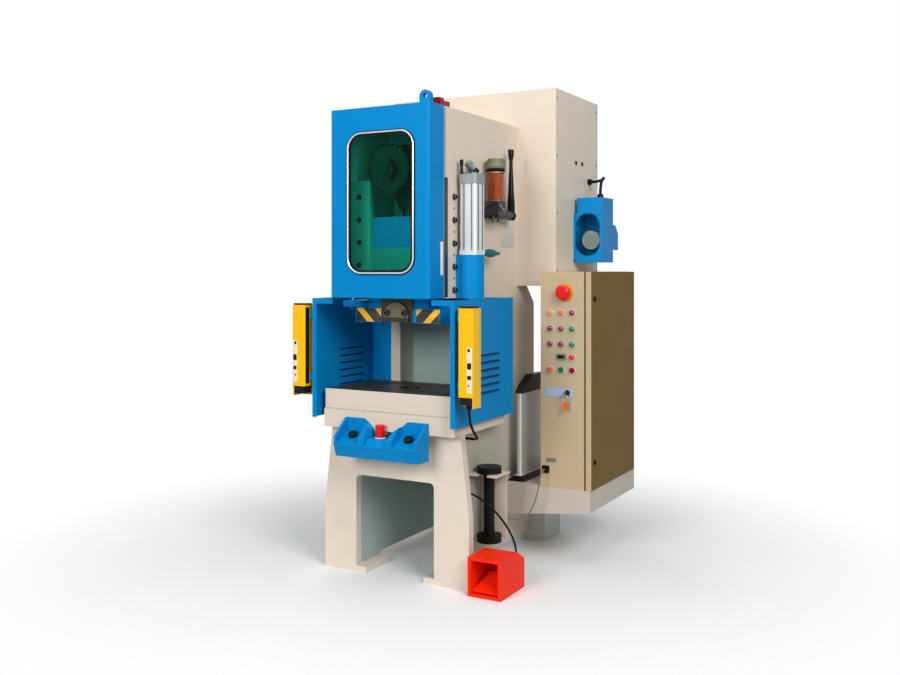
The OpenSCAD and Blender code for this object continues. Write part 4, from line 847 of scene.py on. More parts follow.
@dataclass
class Bench:
    """Makes pieces and finishes and keeps the frame.

    Attributes:
        finishes: Look by name.
        made: Materials made so far, by name.
    """

    frame: Mapping[str, object]
    finishes: Mapping[str, Look]
    made: dict[str, bpy.types.Material] = field(default_factory=dict)

    def material(self, name: str) -> bpy.types.Material:
        """A finish as a material, made once.

        Args:
            name: Name of the finish.

        Returns:
            The material.
        """
        if name not in self.made:
            self.made[name] = self.finishes[name].build(name)
        return self.made[name]

    def coat(self, node: str, finish: str) -> None:
        """Gives a CAD node its finish.

        Args:
            node: Name of the node.
            finish: Name of the finish.
        """
        data = self.frame["nodes"][node].data
        data.materials.clear()
        data.materials.append(self.material(finish))

    def add(self, name: str, form: Form, finish: str, body: str, slot: str,
            angle: float = 38.0) -> bpy.types.Object:
        """Makes a piece that rides on a body.

        Args:
            name: Name of the piece.
            form: Its surface, in place.
            finish: Name of its finish.
            body: CAD body that carries it.
            slot: Material slot of the record; not used.
            angle: Edges sharper than this stay sharp, in degrees.

        Returns:
            The piece.
        """
        mesh = bpy.data.meshes.new(name)
        mesh.from_pydata(form.verts.tolist(), [], form.faces)
        work = bmesh.new()
        work.from_mesh(mesh)
        bmesh.ops.recalc_face_normals(work, faces=work.faces)
        work.to_mesh(mesh)
        work.free()
        mesh.polygons.foreach_set("use_smooth", np.ones(len(mesh.polygons), bool))
        mesh.set_sharp_from_angle(angle=math.radians(angle))
        mesh.materials.append(self.material(finish))
        piece = bpy.data.objects.new(name, mesh)
        bpy.context.scene.collection.objects.link(piece)
        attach(piece, body)
        LOG.info("piece %s on %s: %d faces", name, body, len(mesh.polygons))
        return piece


def bolster_edges() -> tuple[Zone, ...]:
    """Painted edges of the bolster around its bare top.

    Returns:
        The zones of the front and the two ends.
    """
    sides: tuple[dict[str, Range], ...] = (
        {"y": (None, -0.5595)}, {"x": (0.3295, None)}, {"x": (None, -0.3295)})
    return tuple(Zone(Tone.CREAM, 0.42, z=(None, 0.8272), **side) for side in sides)


def finishes() -> dict[str, Look]:
    """All finishes by name.

    Returns:
        The finishes.
    """
    bare = dict(metallic=1.0, relief=0.10, mottle=0.12)
    drawn = dict(grain=900.0, stretch=(1, 1, 0.04), metallic=0.45)
    oiled = dict(grain=500.0, mottle=0.25, relief=0.14)
    powder = dict(grain=1400.0, relief=0.14)
    smooth = dict(grain=500.0, relief=0.03)
    blue = Finish(Tone.BLUE, 0.42, grain=220.0, relief=0.05, shine=0.08)
    lenses = {name: Lens(Tone[name.upper()]) for name in ("dark_red", "amber", "orange", "green")}
    return {
        "cream": Finish(Tone.CREAM, 0.42, coat=0.06, grain=260.0, relief=0.06, grime=0.12, zones=(
            # Painted shade: the throat's back wall and the inner faces of the legs and rear plate are
            # darker and greener, as in the shade of these recesses
            Zone(Tone.SHADED_GREEN, 0.5, x=(-0.2025, 0.2025), y=(-0.03, 0.03), z=(0.742, 1.47)),
            Zone(Tone.SHADED_GREEN, 0.5, x=(-0.2045, 0.2045), y=(-0.461, 0.395), z=(0.03, 0.60)),
            # Painted shadow of the side guards, low on the outer faces of the side plates
            PaintedShadow(Tone.SHADOWED_CREAM, 0.45, plate=(0.2535, 0.2565), rise=(0.50, 0.80),
                 depth=(-0.05, 0.20), front=-0.459),
            Zone(Tone.PLATE, 0.5, y=(0.364, None), z=(None, 0.196)),
            Zone(Tone.BLUE, 0.42, y=(0.781, None)))),
        "beige": Finish(Tone.BEIGE, 0.5, **powder, zones=(Zone(Tone.SEAM, 0.5, x=(0.686, None)),)),
        # Painted shade: the door is the cabinet's beige darkened as if in shade; its front strip keeps the
        # lit beige
        "door": Finish(Tone.DOOR, 0.5, **powder, shine=0.05, zones=(
            Zone(Tone.BEIGE, 0.5, y=(None, 0.0345)),)),
        "blue": blue,
        "guard": replace(blue, zones=(
            Hoods(Tone.DEEP_BLUE, 0.5, face=0.3672, depth=(-0.401, -0.199), lowest=0.821, pitch=0.033,
                  count=6, share=0.27),)),
        "ram": replace(blue, zones=(
            Zone(Tone.HEAD_GREY, 0.45, x=(-0.16, 0.16), y=(None, -0.40), z=(1.262, 1.462)),)),
        "pale_grey": Finish(Tone.PALE_GREY, 0.46, grain=260.0, relief=0.06, grime=0.12),
        "pedal_red": Finish(Tone.PEDAL_RED, 0.4, shine=0.1, grain=500.0, relief=0.10, grime=0.1),
        "yellow": Finish(Tone.YELLOW, 0.36, coat=0.1, grain=300.0, relief=0.04),
        "steel": Finish(Tone.STEEL, 0.34, grain=900.0, stretch=(1, 1, 0.05), **bare),
        "dark_steel": Finish(Tone.OILED_STEEL, 0.36, metallic=0.7, **oiled),
        "cast": Finish(Tone.CAST, 0.5, grain=420.0, metallic=0.6, mottle=0.2, relief=0.22),
        "bolster": Finish(Tone.OILED_STEEL, 0.4, shine=0.1, grain=700.0, metallic=0.3, mottle=0.3,
                          relief=0.12, stretch=(0.05, 1, 1), zones=bolster_edges()),
        "clamp": Finish(Tone.OILED_STEEL, 0.4, metallic=0.5, **oiled, zones=(
            Zone(Tone.OLIVE, 0.45, 0.3, y=(None, -0.4795), z=(1.152, None)),)),
        "bronze": Finish(Tone.BRONZE, 0.3, grain=800.0, **bare),
        "dial": Finish(Tone.HEAD_GREY, 0.36, grain=90.0, metallic=0.3, mottle=0.5, relief=0.05),
        "cylinder": Finish(Tone.ALUMINIUM, 0.34, **drawn, relief=0.1, mottle=0.08, zones=(
            Zone(Tone.HEAD_GREY, 0.45, 0.3, z=(1.7395, None)),
            Grooves(Tone.GROOVE, 0.45, 0.4, axis=(0.316, -0.360), face=0.037, span=(0.0150, 0.0245),
                    rise=(1.449, 1.740)))),
        "valve": Finish(Tone.VALVE_GREY, 0.34, grain=600.0, metallic=0.6, relief=0.1, mottle=0.2),
        "plate": Finish(Tone.PLATE, 0.4, **smooth),
        "pump": Finish(Tone.CAST, 0.42, grain=600.0, metallic=0.7, mottle=0.5, relief=0.3, zones=(
            Zone(Tone.CAP_GREY, 0.45, 0.3, z=(1.8505, None)),)),
        "black": Finish(Tone.BLACK, 0.46, grain=900.0, relief=0.10, shine=0.12),
        "gloss_black": Finish(Tone.BLACK, 0.22, grain=300.0, relief=0.03, coat=0.1, shine=0.12),
        "rubber": Finish(Tone.BLACK, 0.62, grain=1200.0, relief=0.16, shine=0.1),
        "grey_cable": Finish(Tone.COUNTER_GREY, 0.5, grain=1200.0, relief=0.08),
        "teal": Finish(Tone.TEAL, 0.5, grain=1500.0, relief=0.25),
        "red": Finish(Tone.RED, 0.28, coat=0.2, grain=500.0, relief=0.04),
        "red_lens": Lens(Tone.RED),
        **lenses,
        "white": Finish(Tone.WHITE, 0.4, **smooth),
        "chrome": Finish(Tone.ALUMINIUM, 0.16, grain=500.0, metallic=1.0, relief=0.02, mottle=0.03),
        "bolt": Finish(Tone.CAST, 0.36, grain=700.0, metallic=0.8, relief=0.08, mottle=0.2),
        "gear": Finish(Tone.PALE_GREY, 0.5, grain=600.0, relief=0.05, zones=(
            Zone(Tone.CAST, 0.5, x=(0.49, None)),)),
        "panel": Finish(Tone.BEZEL, 0.3, metallic=0.3, **smooth, zones=(
            Zone(Tone.PLATE_BLUE, 0.4, z=(0.776, 0.818)),
            Zone(Tone.COUNTER_GREY, 0.45, x=(None, 0.6), z=(0.949, 0.977)),
            Zone(Tone.COUNTER_GREY, 0.5, z=(None, 0.5)),
            Zone(Tone.AMBER, 0.4, z=(1.21, None)))),
        "key": Finish(Tone.BLACK, 0.36, grain=500.0, relief=0.04, zones=(
            Zone(Tone.STEEL, 0.3, 1.0, y=(None, 0.0185)),
            Zone(Tone.ORANGE, 0.4, z=(None, 0.758)))),
        "reservoir": Finish(Tone.ALUMINIUM, 0.32, **drawn, zones=(
            Zone(Tone.BLACK, 0.45, z=(None, 0.383)),
            Zone(Tone.BLACK, 0.45, z=(0.773, None)))),
        "switch": Finish(Tone.DARK_RED, 0.34, grain=500.0, relief=0.05, zones=(
            Zone(Tone.BLACK, 0.45, z=(None, 2.078)),)),
        "cap": Finish(Tone.CAP_GREY, 0.45, grain=500.0, metallic=0.3, relief=0.1, mottle=0.2),
        "strip": Finish(Tone.STRIP, 0.4, **smooth),
        "hazard_left": Stripes(0.1, 1.0, 0.972),
        "hazard_right": Stripes(0.1, -1.0, -0.996),
        "pane": Pane(Tone.PANE_GREEN),
        "clear": Pane(Tone.CLEAR),
        "oil": Finish(Tone.OIL, 0.2, coat=0.2, grain=120.0, relief=0.01, mottle=0.15),
    }


COATS: dict[str, str] = {
    "cream": "frame flywheel_cover",
    "bolster": "bolster_plate",
    "beige": "cabinet_body",
    "door": "cabinet_door",
    "blue": "balance_brackets console_housing cam_box front_cover motor",
    "guard": "side_guard_left side_guard_right",
    "ram": "ram",
    "pale_grey": "cabinet_bracket gibs",
    "pedal_red": "pedal_housing pedal_treadle",
    "yellow": "light_curtain_left light_curtain_right",
    "steel": "adjusting_screw balance_rods",
    "dark_steel": "eccentric_bush connecting_rod crankshaft",
    "clamp": "shank_clamp",
    "cast": "flywheel motor_pulley",
    "bronze": "crank_bushes",
    "dial": "cam_dial",
    "cylinder": "balance_cylinder_left balance_cylinder_right",
    "pump": "pump_body",
    "black": "curtain_fittings cable_glands cable_spool door_locks palm_button_left palm_button_right",
    "gloss_black": "pump_lever",
    "rubber": "drive_belts window_seal",
    "teal": "silencers",
    "red": "console_estop cabinet_estop",
    # The start and stop buttons take lamp-lens finishes, so they get a faint painted glow though they are
    # no lamps
    "dark_red": "stop_button",
    "green": "start_button",
    "orange": "mode_selector",
    "gear": "switchgear",
    "panel": "panel_fittings",
    "key": "key_switch",
    "reservoir": "air_reservoir",
    "switch": "interlock_switch",
    "pane": "window_pane",
    "clear": "cam_glass",
}


@dataclass(frozen=True)
class CordSpec:
    """One free cord and its route.

    Attributes:
        name: Name of the piece.
        node: CAD node that it stands for.
        finish: Name of its finish.
        diameter: Outside diameter.
        path: Points of its middle line.
        ribs: Distance between ribs, or 0 for a plain cord.
    """

    name: str
    node: str
    finish: str
    diameter: float
    path: np.ndarray
    ribs: float = 0.0


class Cords:
    """The four cords between glands.

    Attributes:
        STUB: Length of the straight part at each end.
        RIB: Share of the radius by which a ribbed cord waves.
    """

    STUB = 0.006
    RIB = 0.05

    @classmethod
    def bend(cls, start: Sequence[float], out: Sequence[float], back: Sequence[float],
             end: Sequence[float], count: int = 48) -> np.ndarray:
        """Smooth bend with a straight stub at each end.

        Args:
            start: First point.
            out: Pull along which the cord leaves it.
            back: Pull along which the cord leaves the last point.
            end: Last point.
            count: Steps on the bend.

        Returns:
            The points.
        """
        p, a, b, q = (np.array(v, float) for v in (start, out, back, end))
        p1, q1 = p + cls.STUB * unit(a), q + cls.STUB * unit(b)
        return np.vstack([p, curve(p1, p1 + a, q1 + b, q1, count), q])

    @classmethod
    def specs(cls) -> list[CordSpec]:
        """The cords of the press.

        Returns:
            One entry per cord.
        """
        low, way = np.array([0.392, -0.086, 0.216]), np.array([-0.050, -0.024, 0.0])
        fall = cls.bend((0.497, 0.013, 0.437), (0, -0.070, 0), -2 * way, low)
        rise = cls.bend(low, way, (0.060, 0, 0), (0.275, -0.130, 0.290))
        return [
            CordSpec("pedal_lead", "pedal_cable", "rubber", 0.009, cls.bend(
                (0.275, -0.410, 0.400), (0.170, 0, 0), (0, 0.190, 0), (0.4775, -0.310, 0.084))),
            CordSpec("curtain_lead", "curtain_cable", "rubber", 0.011, cls.bend(
                (0.429, -0.5995, 0.785), (0, 0, -0.120), (0.120, 0, 0), (0.275, -0.360, 0.620))),
            CordSpec("cabinet_lead", "link_cable", "grey_cable", 0.007, np.vstack([fall, rise[1:]])),
            CordSpec("cam_conduit", "cam_hose", "rubber", 0.015, cls.bend(
                (0.483, 0.660, 1.822), (0.100, 0, 0), (0, 0, 0.120), (0.586, 0.508, 1.745), 200), 0.004),
        ]

    @classmethod
    def lay(cls, bench: Bench) -> None:
        """Args:
            bench: The bench.
        """
        for spec in cls.specs():
            steps = np.linalg.norm(np.diff(spec.path, axis=0), axis=1)
            radius: Union[float, np.ndarray] = spec.diameter / 2
            if spec.ribs:
                run = np.concatenate([[0], np.cumsum(steps)])
                radius = radius * (1 - cls.RIB + cls.RIB * np.cos(2 * math.pi * run / spec.ribs))
            piece = bench.add(spec.name, sweep(spec.path, radius, sides=18), spec.finish, "press", "rubber")
            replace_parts(piece, spec.node)


def cap_screw(radius: float, height: float, centre: Sequence[float], axis: Sequence[float]) -> Form:
    """Cap screw on a washer: a turned head, with a hexagon sunk to half its height.

    Args:
        radius: Radius of the head.
        height: Height of the head.
        centre: Place of its seat.
        axis: Direction that it faces.

    Returns:
        The form.
    """
    washer, step = 0.0015, 0.0001
    rim, edge, mouth, hexagon = (radius * share for share in (1.4, 0.9, 0.6, 0.55))
    top = height + washer
    head = lathe([(rim, 0), (rim, washer), (radius, washer + step), (radius, height), (edge, top),
                  (mouth, top)], centre, axis, sides=28)
    ring, w = spread(polygon(6, hexagon), axis), unit(axis)
    socket = Form.loft(np.stack([ring * 1.05, ring, ring * 0.97 - w * height * 0.5])
                       + np.array(centre) + w * top)
    return Form.merge([head, socket])


def pan_screw(radius: float, centre: Sequence[float], axis: Sequence[float]) -> Form:
    """Low round screw head: a quarter ellipse turned about its axis.

    Args:
        radius: Radius of the head.
        centre: Place of its seat.
        axis: Direction that it faces.

    Returns:
        The form.
    """
    rise = np.linspace(0, math.pi / 2, 7)
    foot, high = radius * 0.12, radius * 0.4
    dome = np.stack([radius * np.cos(rise), foot + high * np.sin(rise)], -1)[:-1]
    return lathe(np.vstack([[(radius, 0)], dome]), centre, axis, sides=20)


def hoop(radius: float, thickness: float, centre: Sequence[float]) -> Form:
    """Level ring: a round section carried along a circle."""
    circle = polygon(56, radius)
    return sweep(np.c_[circle, np.zeros(len(circle))] + np.array(centre), thickness, sides=12, closed=True)


class Assembly(ABC):
    """Small parts of one sub-assembly that the solids leave out."""

    @abstractmethod
    def build(self, bench: Bench) -> None:
        """Makes its pieces.

        Args:
            bench: The bench.
        """


@dataclass(frozen=True)
class RamGuides(Assembly):
    """Screws that hold the ram guides on the side plates and in front, and a strip beside the right one.

    Attributes:
        face: Outer face of a side plate.
        row: Place of the row in depth.
        lowest: Height of the lowest cap screw.
        pitch: Distance between cap screws.
        count: Number of cap screws on a side.
        head: Radius and height of a cap screw's head.
        set_head: Radius of a set screw's head.
        strip: Width, height and thickness of the strip over the right guide's edge.
        strip_middle: Middle of the strip in depth and height.
        keeper: Seat of the lowest screw on the right guide's front.
        keeper_head: Radius and height of a keeper screw's head.
    """

    face: float = 0.255
    row: float = -0.414
    lowest: float = 1.275
    pitch: float = 0.102
    count: int = 5
    head: Pair = (0.0105, 0.011)
    set_head: float = 0.005
    strip: Triple = (0.029, 0.518, 0.0015)
    strip_middle: Pair = (-0.4850, 1.504)
    keeper: Triple = (0.187, -0.500, 1.283)
    keeper_head: Pair = (0.009, 0.006)

    def build(self, bench: Bench) -> None:
        """Makes its pieces.

        Args:
            bench: The bench.
        """
        strip = plate(self.strip, (self.face, *self.strip_middle), RIGHT)
        bench.add("guide_strip", strip, "bolt", "press", "steel")
        seat = (self.face, self.row, self.lowest)
        steps = [(0, 0, self.pitch * i) for i in range(self.count)]
        halves = [(0, 0, self.pitch * (i + 0.5)) for i in range(self.count - 1)]
        form = Form.merge([cap_screw(*self.head, seat, RIGHT).at(steps),
                           pan_screw(self.set_head, seat, RIGHT).at(halves)])
        bench.add("guide_screws", form.mirrored(), "bolt", "press", "steel")
        keepers = cap_screw(*self.keeper_head, self.keeper, FRONT).at(steps)
        bench.add("keeper_screws", keepers.mirrored(), "bolt", "press", "steel")


@dataclass(frozen=True)
class RamFront(Assembly):
    """Striped plates on the ram flange and the two screws of the shank clamp.

    Attributes:
        face: Front of the flange.
        spans: Name and ends along X of each plate.
        middle: Height of the plates' middle.
        size: Height, corner radius and thickness of a plate.
        screw: Seat of the right clamp screw.
        head: Radius and height of a clamp screw's head.
    """

    face: float = -0.477
    spans: tuple[tuple[str, float, float], ...] = (("left", -0.217, -0.084), ("right", 0.100, 0.220))
    middle: float = 1.160
    size: Triple = (0.060, 0.002, 0.0008)
    screw: Triple = (0.046, -0.488, 1.172)
    head: Pair = (0.0125, 0.012)

    def build(self, bench: Bench) -> None:
        """Makes its pieces.

        Args:
            bench: The bench.
        """
        height, corner, thickness = self.size
        for name, low, high in self.spans:
            striped = plate((high - low, height, thickness), ((low + high) / 2, self.face, self.middle),
                            FRONT, corner, thickness / 3)
            bench.add(f"hazard_{name}", striped, f"hazard_{name}", "ram", "yellow")
        screws = cap_screw(*self.head, self.screw, FRONT).mirrored()
        bench.add("clamp_screws", screws, "bolt", "ram", "steel")


@dataclass(frozen=True)
class FrontCover(Assembly):
    """Bright filler strip of the window seal and the blank plate on the cover's side.

    Attributes:
        window: Middle of the window, on the face of the seal.
        size: Width, height and corner radius of the strip's middle line.
        strip: Radius of the strip.
        plate: Middle of the blank plate.
        plate_size: Width, height and thickness of the blank plate.
    """

    window: Triple = (0.010, -0.631, 1.654)
    size: Triple = (0.335, 0.609, 0.067)
    strip: float = 0.0042
    plate: Triple = (0.255, -0.522, 1.412)
    plate_size: Triple = (0.022, 0.143, 0.0012)

    def build(self, bench: Bench) -> None:
        """Makes its pieces.

        Args:
            bench: The bench.
        """
        outline = round_rect(*self.size, steps=16)
        path = np.c_[outline[:, 0], np.zeros(len(outline)), outline[:, 1]] + np.array(self.window)
        bead = sweep(path, self.strip, sides=12, closed=True)
        bench.add("window_bead", bead, "chrome", "cover", "alu")
        bench.add("cover_plate", plate(self.plate_size, self.plate, RIGHT), "white", "cover", "trim")


@dataclass(frozen=True)
class RearCover(Assembly):
    """Blind plugs and screws on the sides of the flywheel cover.

    Attributes:
        face: Side face of the cover.
        plugs: Depth and height of each plug.
        plug: Profile of a plug.
        rows: Depths of the two rows of screws.
        heights: Heights of the screws.
        head: Radius of a screw's head.
    """

    face: float = 0.463
    plugs: tuple[Pair, ...] = ((0.486, 1.905), (0.569, 1.907))
    plug: Profile = ((0.011, 0), (0.011, 0.003), (0.008, 0.005))
    rows: tuple[float, ...] = (0.245, 0.775)
    heights: tuple[float, ...] = (1.36, 1.64, 1.92, 2.20)
    head: float = 0.005

    def build(self, bench: Bench) -> None:
        """Makes its pieces.

        Args:
            bench: The bench.
        """
        plug = lathe(self.plug, (self.face, 0, 0), RIGHT, sides=28)
        bench.add("cover_plugs", plug.at([(0, y, z) for y, z in self.plugs]), "black", "press", "black")
        screws = pan_screw(self.head, (self.face, 0, 0), RIGHT).at(
            [(0, y, z) for y in self.rows for z in self.heights])
        bench.add("rear_screws", screws.mirrored(), "bolt", "press", "steel")


@dataclass(frozen=True)
class CamSwitch(Assembly):
    """Screws on the front of the cam switch box.

    Attributes:
        face: Front of the box.
        columns: Places along X.
        heights: Heights of the screws.
        head: Radius of a screw's head.
    """

    face: float = 0.454
    columns: tuple[float, ...] = (0.472, 0.606)
    heights: tuple[float, ...] = (1.410, 1.640)
    head: float = 0.0045

    def build(self, bench: Bench) -> None:
        """Makes its pieces.

        Args:
            bench: The bench.
        """
        screws = pan_screw(self.head, (0, self.face, 0), FRONT).at(
            [(x, 0, z) for x in self.columns for z in self.heights])
        bench.add("cam_screws", screws, "bolt", "press", "steel")


@dataclass(frozen=True)
class ControlPanel(Assembly):
    """Domed lenses of the pilot lamps and the dark window of the stroke counter.

    Attributes:
        face: Front of the cabinet.
        columns: Places of the lamps along X.
        rows: Height of each row of lamps and the colours of its lenses.
        last: Height of the single lamp below them.
        lens: Radius of a lens.
        rise: Height of a lens's rim and of its dome above that.
        counter: Middle of the counter window.
        counter_size: Width, height and thickness of the counter window.
        stem: How far a lens reaches into the cabinet.
        edge: Width and height of the step between a lens's rim and its dome.
    """

    face: float = 0.033
    columns: tuple[float, ...] = (0.520, 0.574, 0.628)
    rows: tuple[tuple[float, str], ...] = ((1.166, "amber orange dark_red"),
                                           (1.092, "dark_red dark_red green"),
                                           (1.021, "dark_red dark_red green"))
    last: float = 0.963
    lens: float = 0.0132
    rise: Pair = (0.008, 0.0065)
    counter: Triple = (0.574, 0.025, 0.963)
    counter_size: Triple = (0.034, 0.014, 0.0012)
    stem: float = 0.04
    edge: Pair = (0.0002, 0.002)

    def build(self, bench: Bench) -> None:
        """Makes its pieces.

        Args:
            bench: The bench.
        """
        spots = [(x, z, c) for z, colours in self.rows for x, c in zip(self.columns, colours.split())]
        spots.append((self.columns[-1], self.last, "red_lens"))
        turn = np.linspace(0, math.pi / 2, 9)[:-1]
        rim, dome = self.rise
        inset, drop = self.edge
        cap = np.stack([(self.lens - inset) * np.cos(turn), rim + dome * np.sin(turn)], -1)
        profile = np.vstack([[(self.lens, -self.stem), (self.lens, rim - drop)], cap])
        for number, (x, z, colour) in enumerate(spots):
            lens = lathe(profile, (x, self.face, z), FRONT, sides=36)
            piece = bench.add(f"lamp_{number}", lens, colour, "press", "lamp")
            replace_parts(piece, "pilot_lamps")
        window = plate(self.counter_size, self.counter, FRONT)
        bench.add("counter_window", window, "gloss_black", "press", "black")


@dataclass(frozen=True)
class LightCurtains(Assembly):
    """Pale strips with dark indicator windows on the fronts of the two light curtains.

    Attributes:
        middle: Middle of the right strip, on the front of the housing.
        size: Width, height and thickness of a strip.
        corner: Corner radius of a strip.
        windows: Place across and up from the middle, width and height of each window.
        glass: Thickness of a window.
    """

    middle: Triple = (0.447, -0.632, 0.950)
    size: Triple = (0.024, 0.188, 0.001)
    corner: float = 0.004
    windows: tuple[tuple[float, float, float, float], ...] = (
        (-0.002, 0.083, 0.011, 0.013), (0.0, 0.018, 0.019, 0.026), (0.0, -0.029, 0.018, 0.016),
        (-0.003, -0.062, 0.006, 0.008))
    glass: float = 0.0008

    def build(self, bench: Bench) -> None:
        """Makes its pieces.

        Args:
            bench: The bench.
        """
        strip = plate(self.size, self.middle, FRONT, self.corner, bevel=0.0004)
        bench.add("curtain_strips", strip.mirrored(), "strip", "press", "trim")
        x, y, z = self.middle
        front = y - self.size[2]
        panes = [plate((width, height, self.glass), (x + aside, front, z + up), FRONT, bevel=0.0003)
                 for aside, up, width, height in self.windows]
        bench.add("curtain_windows", Form.merge(panes).mirrored(), "gloss_black", "press", "black")


@dataclass(frozen=True)
class SideGuards(Assembly):
    """Cheeks that close the ends of the louvres on the two side guards.

    Attributes:
        face: Outer face of a guard.
        ends: Front and back of the louvres.
        lowest: Top of the lowest slot.
        pitch: Distance between louvres.
        count: Number of louvres on a guard.
        hood: Height above the slot's top, depth below it and reach of a hood.
        thickness: Thickness of a cheek.
    """

    face: float = 0.367
    ends: Pair = (-0.400, -0.200)
    lowest: float = 0.833
    pitch: float = 0.033
    count: int = 6
    hood: Triple = (0.003, 0.012, 0.007)
    thickness: float = 0.0015

    def build(self, bench: Bench) -> None:
        """Makes its pieces.

        Args:
            bench: The bench.
        """
        up, down, out = self.hood
        outline = [(self.face, up), (self.face + out, -down), (self.face, -down)]
        front, back = self.ends
        spans = ((front, front + self.thickness), (back - self.thickness, back))
        pair = Form.merge([Form.loft(np.array([[(x, y, z) for x, z in outline] for y in span]))
                           for span in spans])
        cheeks = pair.at([(0, 0, self.lowest + self.pitch * i) for i in range(self.count)])
        bench.add("louvre_cheeks", cheeks.mirrored(), "blue", "press", "blue")


@dataclass(frozen=True)
class SidePlates(Assembly):
    """Blank plate on four rivets on the right side plate.

    Attributes:
        middle: Middle of the plate.
        size: Width, height and thickness of the plate.
        corner: Corner radius of the plate.
        rivet: Radius of a rivet's head.
        inset: Distance of the rivets from the plate's sides.
    """

    middle: Triple = (0.255, 0.123, 1.540)
    size: Triple = (0.160, 0.138, 0.0012)
    corner: float = 0.004
    rivet: float = 0.003
    inset: float = 0.008

    def build(self, bench: Bench) -> None:
        """Makes its pieces.

        Args:
            bench: The bench.
        """
        width, height, thickness = self.size
        blank = plate(self.size, self.middle, RIGHT, self.corner)
        bench.add("blank_plate", blank, "plate", "press", "trim")
        rivet = pan_screw(self.rivet, np.array(self.middle) + [thickness, 0, 0], RIGHT)
        reach = (width / 2 - self.inset, height / 2 - self.inset)
        rivets = rivet.at([(0, y * reach[0], z * reach[1]) for y in (-1, 1) for z in (-1, 1)])
        bench.add("plate_rivets", rivets, "chrome", "press", "alu")


